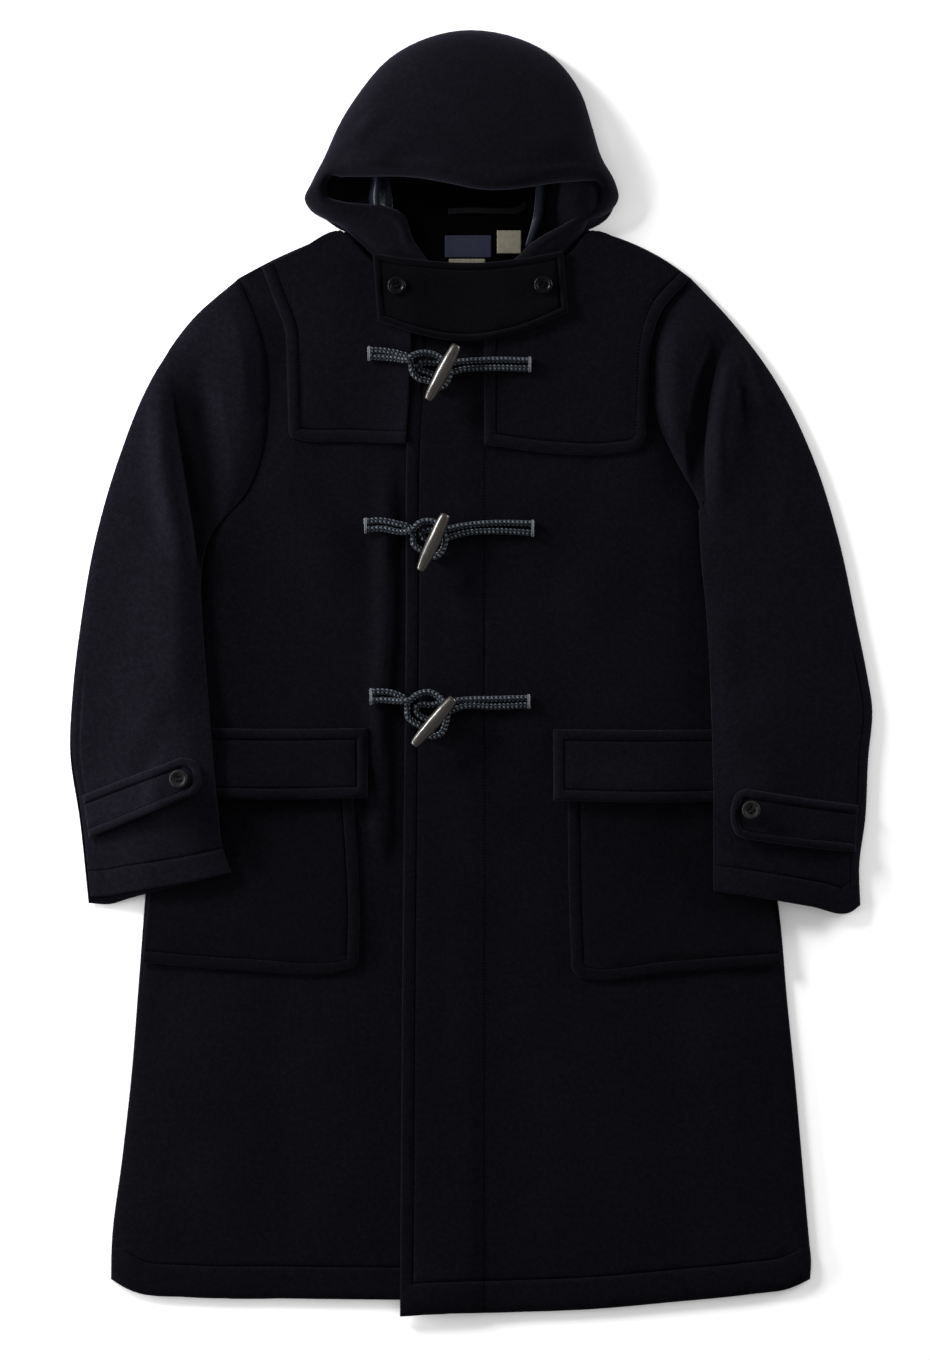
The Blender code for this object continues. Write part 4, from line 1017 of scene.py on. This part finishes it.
# How much fuller than flat a sleeve is, where across it is fullest, and how evenly it rises to there.
sleeveFullness = {"right": (13.5, 0.76, 1.15), "left": (8.5, 0.60, 1.9)}
sleeveFolds = {
    "right": [(-322, 880, -330, 800, 26, 1.2), (-350, 640, -300, 600, 34, 1.2),
              (-340, 560, -290, 545, 26, -1.4), (-300, 1000, -268, 960, 26, 1.4)],
    "left": [(268, 974, 284, 906, 11, 4.2), (281, 926, 300, 836, 18, 1.8), (300, 900, 292, 780, 20, -1.4),
             (330, 640, 290, 600, 34, 1.2), (250, 700, 262, 560, 24, 1.2), (206, 972, 205, 884, 24, 7.0)],
}
# Where a sleeve folds over under the arm: the fold's edge, its crest, the valley beside it, and how much
# shade is painted into the valley (dark).
underarmFolds = {
    "right": {"line": [(-303, 985), (-298, 935), (-295, 897), (-289, 859), (-283, 821), (-277, 785),
                       (-273, 757), (-270.5, 739)],
              "hand": 1, "crest": 10.0, "back": 18.0, "half": 14.0, "steep": 12.0, "floor": 28.0,
              "slow": 24.0, "fadeIn": 0.36, "fadeOut": 0.10, "return": 0.5, "lean": 1.0, "calm": 0.35,
              "dark": 0.9},
    "left": {"line": [(264, 992), (252, 964), (242, 928), (237, 896), (235, 862), (236, 820), (238, 770)],
             "hand": -1, "crest": 9.0, "back": 15.0, "half": 12.0, "steep": 10.0, "floor": 11.0, "slow": 10.0,
             "fadeIn": 0.22, "fadeOut": 0.34, "return": 1.0, "lean": 1.1, "calm": 0.5, "dark": 0.0},
}


def makeSleeve(side, sides, outer, inner, partRange, seed, topCuff=None):
    cloth, cap = sleeveCloth, side.title()
    own = Pile()
    own.add(*layCloth("sleeveUnder" + cap, "sleeve_%s_under" % side, sides, meltons["sleeve" + cap],
                      ["backPanel", "front" + cap, "pocket" + cap],
                      {"under": cloth["underarmUp"], "reach": 5.0, "passes": 8, "uneven": 0.0, "gap": 0.0,
                       "curl": {outer: cloth["underCurl"]}}))
    fullness, crown, power = sleeveFullness[side]
    fold = underarmFolds[side]

    def onUnder(points, distances):
        out = distances[outer]
        into = np.minimum(distances[inner], distances["north"])
        share = out / (out + into + 1e-6)
        fall = 1 - cloth["innerLoss"] * (np.clip(share - crown, 0, 1) / (1 - crown)) ** 2
        full = fullness * np.where(share < crown, 1 - np.clip(1 - share / crown, 0, 1) ** power, fall)
        full *= smoothStep((out + into) / 90.0) * (0.25 + 0.75 * smoothStep(distances["north"] / 26.0))
        full *= 0.10 + 0.90 * arc(1 - np.clip(distances[inner] / cloth["innerRound"], 0, 1))
        upwards = smoothStep(distances["south"] / cloth["cuffRise"])
        full *= cloth["cuffFlat"] + (1 - cloth["cuffFlat"]) * upwards
        rest = own.settle(points, 3.0, 6)
        full *= 1 - cloth["overLoss"] * smoothStep((rest - 8.0) / 9.0)   # thinner where it lies on the pocket
        full = full + foldRise(points, sleeveFolds[side]) * np.clip(np.minimum(out, into) / 14.0, 0, 1)
        crest, valley, _, _, _ = foldEdge(points, fold)
        full = (np.maximum(full, 0.0) + crest * np.clip(out / 40.0, 0, 1)) * (1 - valley)
        seam = arc(1 - np.clip(distances[inner] / 9.0, 0, 1))
        armhole = smoothStep((points[..., 1] - cloth["underarmUp"]) / 30.0)
        return rest + 0.3 + full - cloth["armholeDip"] * armhole * (1 - seam)

    layCloth("sleeveTop" + cap, "sleeve_%s_top" % side, (topCuff or sides[0], *sides[1:]),
             meltons["sleeve" + cap], ["sleeveUnder" + cap],
             {"spacing": 2.6, "base": onUnder, "uneven": 0.8, "seed": seed, "lean": fold,
              "dark": fold["dark"], "curl": {outer: cloth["topCurl"], "north": cloth["seamDip"]},
              "stitch": {"south": cloth["cuffStitch"]}, "bulge": 0.5, "partRange": partRange,
              "partSeam": {outer: cloth["backSeam"]}})


def makeSleeves():
    # the inner edge runs on up the armhole to its deepest point, where the sleeve head starts
    lap = sleeveCloth["seamLap"]
    makeSleeve("right", (sleeveRightCuff, EdgeLine(armholeRight[3:][::-1], aside=lap), sleeveRightOuter,
                         EdgeLine([sleeveRightInner, armholeRight[:4]], aside=[-1.5, -lap])),
               "west", "east", (0.06, 0.36), 71.0, sleeveRightTopCuff)
    makeSleeve("left", (sleeveLeftCuff, EdgeLine(armholeLeft[5:], aside=lap),
                        EdgeLine([sleeveLeftInner, armholeLeft[:6]], aside=[3.0, lap]), sleeveLeftOuter),
               "east", "west", (0.0, 0.42), 77.0)
    for side, free, sewnIn, table, seed, rise in (("right", "east", "west", cuffStrapRight, 81.0, 3.6),
                                                  ("left", "west", "east", cuffStrapLeft, 83.0, 1.6)):
        cap = side.title()
        layCloth("cuffStrap" + cap, "cuff_strap_" + side, table, meltons["sleeve" + cap], ["sleeveTop" + cap],
                 {"stitch": dict.fromkeys(("south", "north", free), sewnOn["strap"]), "spacing": 4.0,
                  "seed": seed, "gap": rise / 4, "passes": 1, "bulge": 1.5,
                  "curl": {sewnIn: sleeveCloth["strapCurl"]}, "lift": freeEdge(rise, 0.8)})


makeBack()
makeHoodBack()
makeFronts()
makeNeck()
makeHood()
makeYokes()
makeTab()
makePockets()
makeSleeves()
print("cloth laid:", len(shown), "pieces")


# Sewing, braid and other work that follows a path, by Geometry Nodes.

class PathTree:
    # a node group that starts from curves, called path, and ends with a mesh
    def __init__(self, name):
        self.tree = bpy.data.node_groups.new(name, "GeometryNodeTree")
        for way in ("INPUT", "OUTPUT"):
            self.tree.interface.new_socket("Geometry", in_out=way, socket_type="NodeSocketGeometry")
        self.path = self.tree.nodes.new("NodeGroupInput").outputs["Geometry"]
        self.end = self.tree.nodes.new("NodeGroupOutput").inputs["Geometry"]

    def node(self, kind, inputs, **settings):
        return addNode(self.tree, "GeometryNode" + kind, inputs, settings).outputs

    def maths(self, operation, first, second=0.0):
        inputs = {0: first, 1: second}
        return addNode(self.tree, "ShaderNodeMath", inputs, {"operation": operation}).outputs[0]

    def times(self, first, second):
        return self.maths("MULTIPLY", first, second)

    def vector(self, operation, inputs):
        return addNode(self.tree, "ShaderNodeVectorMath", inputs, {"operation": operation}).outputs[0]

    def evenly(self, step):
        return self.node("ResampleCurve", {"Curve": self.path, "Length": step * mm}, mode="LENGTH")[0]

    def marked(self, geometry, value):
        return self.node("StoreNamedAttribute", {"Geometry": geometry, "Name": "over", "Value": value},
                         data_type="FLOAT", domain="POINT")[0]

    def tube(self, curve, sides, radius):
        ring = self.node("CurvePrimitiveCircle", {"Resolution": sides, "Radius": radius * mm})[0]
        return self.node("CurveToMesh", {"Curve": curve, "Profile Curve": ring, "Fill Caps": True})[0]

    def finish(self, geometry, material):
        whole = self.node("RealizeInstances", {"Geometry": geometry})[0]
        smooth = self.node("SetShadeSmooth", {"Geometry": whole})[0]
        made = self.node("SetMaterial", {"Geometry": smooth, "Material": material})[0]
        self.tree.links.new(made, self.end)
        return self.tree


def stitchTree():
    build, thick = PathTree("stitches"), sewing["thread"] * mm
    points = build.node("CurveToPoints", {"Curve": build.path, "Length": sewing["pitch"] * mm}, mode="LENGTH")
    bead = build.node("MeshUVSphere", {"Segments": 6, "Rings": 5, "Radius": 1.0})["Mesh"]
    laid = build.node("InstanceOnPoints", {
        "Points": points["Points"], "Instance": bead, "Rotation": points["Rotation"],
        "Scale": (thick, thick, sewing["length"] * mm / 2)})[0]
    return build.finish(laid, seamThread)


def braidTree():
    # strands wind both ways round the path, and pass over and under each other in turn
    build, work = PathTree("braid"), cordWork
    half = work["strands"] / 2
    level = build.node("SetCurveNormal", {"Curve": build.evenly(work["step"])}, mode="Z_UP")[0]
    copies = build.node("DuplicateElements", {"Geometry": level, "Amount": work["strands"]}, domain="SPLINE")
    index = copies["Duplicate Index"]
    hand = build.maths("SUBTRACT", build.times(build.maths("MODULO", index, 2.0), 2.0), 1.0)
    pair = build.maths("FLOOR", build.times(index, 0.5))
    along = build.node("SplineParameter", {})["Length"]
    wound = build.times(build.maths("DIVIDE", along, work["lead"] * mm), 2 * math.pi)
    start = build.maths("DIVIDE", build.times(pair, 2 * math.pi), half)
    angle = build.maths("ADD", build.times(wound, hand), start)
    over = build.times(hand, build.maths("COSINE", build.times(angle, half)))
    turned = build.maths("ADD", angle, math.pi / work["strands"])
    radius = build.maths("ADD", work["ring"] * mm, build.times(over, work["wave"] * mm))
    normal = build.node("InputNormal", {})["Normal"]
    other = build.vector("CROSS_PRODUCT", {0: build.node("InputTangent", {})["Tangent"], 1: normal})
    side = build.vector("SCALE", {0: normal, "Scale": build.times(radius, build.maths("COSINE", turned))})
    rise = build.vector("SCALE", {0: other, "Scale": build.times(radius, build.maths("SINE", turned))})
    # strands of one hand are pale where they pass on top and painted dark, as shade, where they dive under;
    # those of the other hand are dark
    pale = build.times(over, build.times(build.maths("ADD", hand, 1.0), 0.5))
    moved = build.node("SetPosition", {"Geometry": build.marked(copies["Geometry"], pale),
                                       "Offset": build.vector("ADD", {0: side, 1: rise})})[0]
    strands = build.tube(moved, work["strandSides"], work["strand"])
    core = build.tube(build.marked(build.evenly(work["coreStep"]), -1.0), work["coreSides"], work["core"])
    both = build.tree.nodes.new("GeometryNodeJoinGeometry")
    build.tree.links.new(core, both.inputs[0])
    build.tree.links.new(strands, both.inputs[0])
    return build.finish(both.outputs[0], braidFinish)


def alongPaths(name, paths, tree):
    # paths in metres become one curve, the tree runs on it, and its result is kept as a plain mesh
    curve = bpy.data.curves.new(name + "Path", "CURVE")
    curve.dimensions = "3D"
    for path in paths:
        spline = curve.splines.new("POLY")
        spline.points.add(len(path) - 1)
        for point, spot in zip(spline.points, path):
            point.co = (*spot, 1.0)
    holder = linked(name + "Path", curve)
    holder.modifiers.new("made", "NODES").node_group = tree
    thing = linked(name, finished(holder, name))
    bpy.data.objects.remove(holder)
    return thing


# The fastenings: toggles, and the doubled cords, as (across, up) points in plan.

cordWork = {"radius": 3.25, "crossing": 5.9, "touching": 4.6, "clear": 0.1, "point": 1.5, "pressed": 3.4,
            "strands": 8, "lead": 17.0, "strand": 0.98, "strandSides": 5, "wave": 0.40, "ring": 1.9,
            "core": 1.85, "coreSides": 8, "step": 0.7, "coreStep": 2.0, "whips": 2, "whipRadius": 0.5,
            "whipFirst": 0.7, "whipPitch": 1.35, "whipAside": 0.6, "whipOver": 0.5}
toggleWork = {"length": 62.0, "rings": 40, "sides": 28, "flat": 0.90, "rough": 0.035, "bevel": 1.3, "past": 3}
toggleProfile = [(0, 4.0), (2, 4.9), (6, 5.5), (16, 6.4), (31, 6.8), (46, 6.3), (56, 5.2), (60, 4.4),
                 (62, 3.6)]
toggleEnds = [((-13, 969), (-42, 914)), ((-24, 801), (-49, 746)), ((-16, 618), (-57, 570))]
# Each loop starts and ends at the left end; each toggle's own cord at the right end.
loopPaths = [
    [(-102, 965), (-86, 964), (-72, 961.5), (-61, 957), (-58.5, 950), (-57, 942), (-50, 936), (-41, 934),
     (-32, 927), (-24, 932), (-20.5, 941), (-24, 951), (-34, 959.5), (-45, 962), (-56, 959.5), (-63, 954.5),
     (-74, 956), (-88, 957.5), (-102, 958)],
    [(-106, 794), (-89, 795), (-73, 792), (-60, 787.5), (-56.5, 780), (-56.5, 773), (-51, 767), (-44, 764),
     (-36, 759), (-28, 765), (-25, 774), (-26.5, 783), (-33, 792), (-42, 794.5), (-51, 792), (-58, 785),
     (-66, 783.5), (-89, 787), (-105, 786)],
    [(-100, 624), (-86, 624.5), (-74, 622), (-64, 616), (-62.5, 608), (-62, 600), (-56, 594), (-48, 590),
     (-38, 580), (-29, 583), (-24.5, 592), (-23, 604), (-30, 618), (-42, 624), (-53, 621), (-61, 615.5),
     (-73, 615), (-88, 616), (-100, 615)],
]
ownPaths = [
    [(61, 954.5), (25, 955), (-8, 953.5), (-26, 951.5), (-40, 952), (-49, 951.5), (-52.5, 948.5),
     (-50, 945.5), (-43, 943), (-34, 940), (-22, 942), (-8, 945.5), (25, 947), (61, 946.5)],
    [(64, 792), (25, 792.5), (-8, 789.5), (-26, 786), (-38, 785.5), (-45, 785), (-48.5, 781.5),
     (-46.5, 777.5), (-40, 775), (-32, 774), (-20, 778.5), (-8, 782), (28, 784.5), (64, 782.5)],
    [(60, 618), (25, 617), (-8, 616), (-26, 613.5), (-40, 611), (-50, 611.5), (-54, 608), (-52, 602.5),
     (-46, 598), (-36, 597), (-22, 604), (-8, 609.5), (25, 609.5), (60, 611)],
]


def softened(rises, need, passes):
    for _ in range(passes):
        wide = np.pad(rises, 1, mode="edge")
        rises = np.maximum(need, (wide[:-2] + wide[2:]) / 2)
    return rises


def spotsRound(radius, angles):
    return [(0.0, 0.0)] + [(radius * math.cos(angle), radius * math.sin(angle)) for angle in angles]


def laidCord(rows, over=()):
    line = evenly(smoothRun(rows, 14), cordWork["point"])
    around = spotsRound(cordWork["pressed"], [k * math.pi / 4 for k in range(8)])
    need = np.max([pile.sample(line + np.array(step)) for step in around], axis=0)
    need += cordWork["radius"] + cordWork["clear"]
    for other in over:
        for k, spot in enumerate(line):
            gaps = np.linalg.norm(other[:, :2] - spot, axis=1)
            near = gaps < cordWork["crossing"]
            if near.any():
                lift = np.sqrt(cordWork["crossing"] ** 2 - gaps[near] ** 2)
                need[k] = max(need[k], (other[near, 2] + lift).max())
    # where the cord passes over an earlier stretch of itself, it rises over it
    for k in range(len(line)):
        for j in range(0, k - 12):
            gap = np.linalg.norm(line[k] - line[j])
            if gap < cordWork["touching"]:
                need[k] = max(need[k], need[j] + math.sqrt(cordWork["crossing"] ** 2 - gap**2))
    rises = softened(need.copy(), need, 60)
    return np.column_stack([line, rises])


def tubeFaces(rings, sides, start=0):
    # the wall between rings of points, and a cap at each end
    faces = []
    for k in range(rings - 1):
        for side in range(sides):
            a, b = start + k * sides + side, start + k * sides + (side + 1) % sides
            faces.append((a, b, b + sides, a + sides))
    faces.append(tuple(start + side for side in range(sides))[::-1])
    faces.append(tuple(start + (rings - 1) * sides + side for side in range(sides)))
    return faces


def tubes(paths, radius, sides=6):
    # closed round tubes along several paths, as one list of placed vertices and one of faces
    vertices, faces = [], []
    for path in paths:
        path = np.asarray(path, float)
        way = np.gradient(path, axis=0)
        way /= np.linalg.norm(way, axis=1)[:, None]
        first = np.cross(way, np.array([0.31, 0.52, 0.79]))
        first /= np.linalg.norm(first, axis=1)[:, None]
        second = np.cross(way, first)
        start = len(vertices)
        for k, spot in enumerate(path):
            thick = radius * (0.55 if k in (0, len(path) - 1) else 1.0)
            for side in range(sides):
                angle = 2 * math.pi * side / sides
                vertices.append(spot + thick * (math.cos(angle) * first[k] + math.sin(angle) * second[k]))
        faces += tubeFaces(len(path), sides, start)
    return place(vertices), faces


def whipPaths(end, way, ground, spread, top, count):
    # bars of thread that hold a cut end: up over both strands and down again
    side = np.array([-way[1], way[0]])
    paths = []
    for k in range(count):
        spot = end + way * (cordWork["whipFirst"] + cordWork["whipPitch"] * k)
        rows = []
        for angle in np.linspace(0.12, math.pi - 0.12, 13):
            flat = spot + side * (spread + cordWork["whipAside"]) * math.cos(angle)
            lift = (top - ground + cordWork["whipOver"]) * math.sin(angle) ** 0.55
            rows.append((flat[0], flat[1], ground + lift))
        paths.append(rows)
    return paths


def makeToggle(number, top, foot, paths):
    way = (foot - top) / np.linalg.norm(foot - top)
    side = np.array([-way[1], way[0]])
    rise = 0.0
    along, radii = np.array(toggleProfile, float).T
    for path in paths:
        out = path[:, :2] - top
        run, aside = out @ way, abs(out @ side)
        radius = np.interp(run, along, radii)
        reach = radius * toggleWork["flat"] + cordWork["radius"] + cordWork["clear"]
        past = toggleWork["past"]
        near = (run > -past) & (run < toggleWork["length"] + past) & (aside < reach)
        if near.any():
            rise = max(rise, (path[near, 2] + np.sqrt(reach[near] ** 2 - aside[near] ** 2)).max())
    rings, sides = toggleWork["rings"], toggleWork["sides"]
    vertices, uv = [], []
    for k in range(rings + 1):
        run = toggleWork["length"] * k / rings
        radius = np.interp(run, along, radii)
        for j in range(sides):
            angle = 2 * math.pi * j / sides
            spot = Vector((run / 14, 1.7 * math.cos(angle), 1.7 * math.sin(angle) + number))
            rough = 1 + toggleWork["rough"] * noise.noise(spot)
            flat = top + way * run + side * radius * rough * math.cos(angle)
            lift = rise + radius * rough * toggleWork["flat"] * math.sin(angle)
            vertices.append((flat[0], flat[1], lift))
            uv.append((j / sides, run / toggleWork["length"]))
    thing = meshObject("toggle%d" % number, place(vertices), tubeFaces(rings + 1, sides), hornMaterial, uv)
    outwards(thing, toggleWork["bevel"])
    keep(thing, ["toggle_%d" % number], "horn")


def makeFastenings():
    tree = braidTree()
    for number in (1, 2, 3):
        own = laidCord(ownPaths[number - 1])
        loop = laidCord(loopPaths[number - 1], over=(own,))
        for kind, path in (("toggle", own), ("loop", loop)):
            thing = alongPaths("%sCord%d" % (kind, number), [place(path)], tree)
            keep(thing, ["%s_cord_%d" % (kind, number)], "braided_cord")
        whips = []
        for path, hand in ((own, -1.0), (loop, 1.0)):
            first, last = path[0], path[-1]
            end = (first[:2] + last[:2]) / 2
            ground = float(pile.sample(end[None])[0])
            spread = abs(first[1] - last[1]) / 2 + cordWork["radius"]
            whips += whipPaths(end, np.array([hand, 0.0]), ground, spread,
                               max(first[2], last[2]) + cordWork["radius"], cordWork["whips"])
        whipping = meshObject("whipping%d" % number, *tubes(whips, cordWork["whipRadius"]), whipThread)
        keep(whipping, [], "braided_cord")
        top, foot = (np.array(spot, float) for spot in toggleEnds[number - 1])
        makeToggle(number, top, foot, (own, loop))


# A button's profile is (radius, rise), from its middle over the rim to its back.
buttonWork = {"radius": 9.2, "pressed": 0.8, "gap": 0.3, "sides": 48, "hole": 1.25, "holeSides": 12,
              "spacing": 2.1, "corner": 1.4, "thread": 0.3, "apart": 0.25, "threadUp": 1.7,
              "threadArch": 0.55, "sharp": 38}
buttonProfile = [(4.6, 2.0), (5.6, 2.25), (6.3, 3.0), (7.1, 3.4), (8.1, 3.35), (8.9, 2.8), (9.2, 2.1),
                 (9.0, 1.2), (8.0, 0.4), (6.0, 0.0)]
buttonSpots = [("tab", "right", -73, 1029, 0.35), ("tab", "left", 73, 1030, 1.1),
               ("cuff", "right", -289, 538, 0.25), ("cuff", "left", 279, 507, 0.75)]


def makeButton(kind, side, across, up, turn):
    work, name = buttonWork, kind + "Button" + side.title()
    middle = np.array([across, up])
    finish = tabButtonFinish if kind == "tab" else cuffButtonFinish
    below = middle + np.array(spotsRound(work["radius"] * work["pressed"], range(6)))
    rise = float(pile.sample(below).max()) + work["gap"]
    vertices, faces = [], []
    count, sides = len(buttonProfile), work["sides"]
    for k in range(sides):
        angle = 2 * math.pi * k / sides
        vertices += [(across + radius * math.cos(angle), up + radius * math.sin(angle), rise + height)
                     for radius, height in buttonProfile]
        a, b = k * count, ((k + 1) % sides) * count
        faces += [(a + j, a + j + 1, b + j + 1, b + j) for j in range(count - 1)]
    faces.append(tuple(range(0, sides * count, count)))
    faces.append(tuple(range(count - 1, sides * count, count))[::-1])
    thing = meshObject(name, place(vertices), faces, finish)
    outwards(thing)
    quarters = [turn + math.pi / 4 + k * math.pi / 2 for k in range(4)]
    holes = middle + np.array(spotsRound(work["spacing"] * work["corner"], quarters)[1:])
    drills = [[(*spot, rise + height) for height in (-2.0, 1.0, 4.0)] for spot in holes]
    drill = meshObject(name + "Drill", *tubes(drills, work["hole"], work["holeSides"]), finish)
    outwards(drill)
    cut = thing.modifiers.new("holes", "BOOLEAN")
    cut.object = drill
    cut.operation = "DIFFERENCE"
    cut.solver = "EXACT"
    mesh = finished(thing, name)
    thing.modifiers.clear()
    thing.data = mesh
    bpy.data.objects.remove(drill)
    mesh.shade_smooth()
    mesh.set_sharp_from_angle(angle=math.radians(work["sharp"]))
    keep(thing, ["%s_button_%s" % (kind, side)], "button")
    threads = []
    for a, b in (holes[:2], holes[2:]):
        threads += [[(*(a * (1 - t) + b * t + shift),
                      rise + work["threadUp"] + work["threadArch"] * math.sin(math.pi * t))
                     for t in np.linspace(0, 1, 9)] for shift in (-work["apart"], work["apart"])]
    keep(meshObject(name + "Thread", *tubes(threads, work["thread"]), seamThread), [], "button")


keep(alongPaths("topstitching", stitchRows, stitchTree()), [], "melton")
print("sewing done")
makeFastenings()
for spot in buttonSpots:
    makeButton(*spot)
print("fastenings made")


# Stage, light and camera.

stage = {"white": 0.95, "fill": 0.53, "lights": (
    ("window", (-1.96, 1.42, 0.88), (0.7, 0.5), 106.0),
    ("leftStrip", (-2.60, -0.05, 0.42), (1.8, 0.45), 140.0),
    ("rightStrip", (2.40, 1.05, 0.45), (1.2, 0.40), 72.0))}
view = {"lens": 130.0, "over": (-0.0059, -0.006), "tall": 1.360}   # so many metres fill the height


def makeStage():
    bpy.ops.mesh.primitive_plane_add(size=16.0)
    floor = bpy.context.object
    floor.name = "floor"
    floor.data.materials.append(Finish("paper", (stage["white"],) * 3, 0.9, 0.0).material)
    world = bpy.data.worlds.new("studio")
    world.use_nodes = True
    world.node_tree.nodes["Background"].inputs["Color"].default_value = (1.0, 1.0, 1.0, 1.0)
    world.node_tree.nodes["Background"].inputs["Strength"].default_value = stage["fill"]
    bpy.context.scene.world = world
    for name, spot, size, power in stage["lights"]:
        light = bpy.data.lights.new(name, "AREA")
        light.shape = "RECTANGLE"
        light.size, light.size_y = size
        light.energy = power
        lamp = linked(name, light)
        lamp.location = spot
        lamp.rotation_euler = (-Vector(spot)).to_track_quat("-Z", "Y").to_euler()
    bpy.context.scene.view_settings.view_transform = "Standard"


def makeCamera():
    data = bpy.data.cameras.new("camera")
    data.sensor_fit = "AUTO"
    data.sensor_width = 36.0
    data.lens = view["lens"]
    data.clip_end = 50.0
    camera = linked("camera", data)
    camera.location = (*view["over"], view["tall"] * data.lens / data.sensor_width)
    bpy.context.scene.camera = camera


makeStage()
makeCamera()
print("stage set")


# Every piece rides on the one body, and the solids it stands for are hidden.

for thing, nodes, slot, cut in shown:
    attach(thing, "root")
    if nodes:
        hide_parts(*nodes)

triangles = {thing.name: sum(len(face.vertices) - 2 for face in thing.data.polygons) for thing, *_ in shown}
most = max(triangles, key=triangles.get)
print("triangles:", sum(triangles.values()), "most:", most, triangles[most])
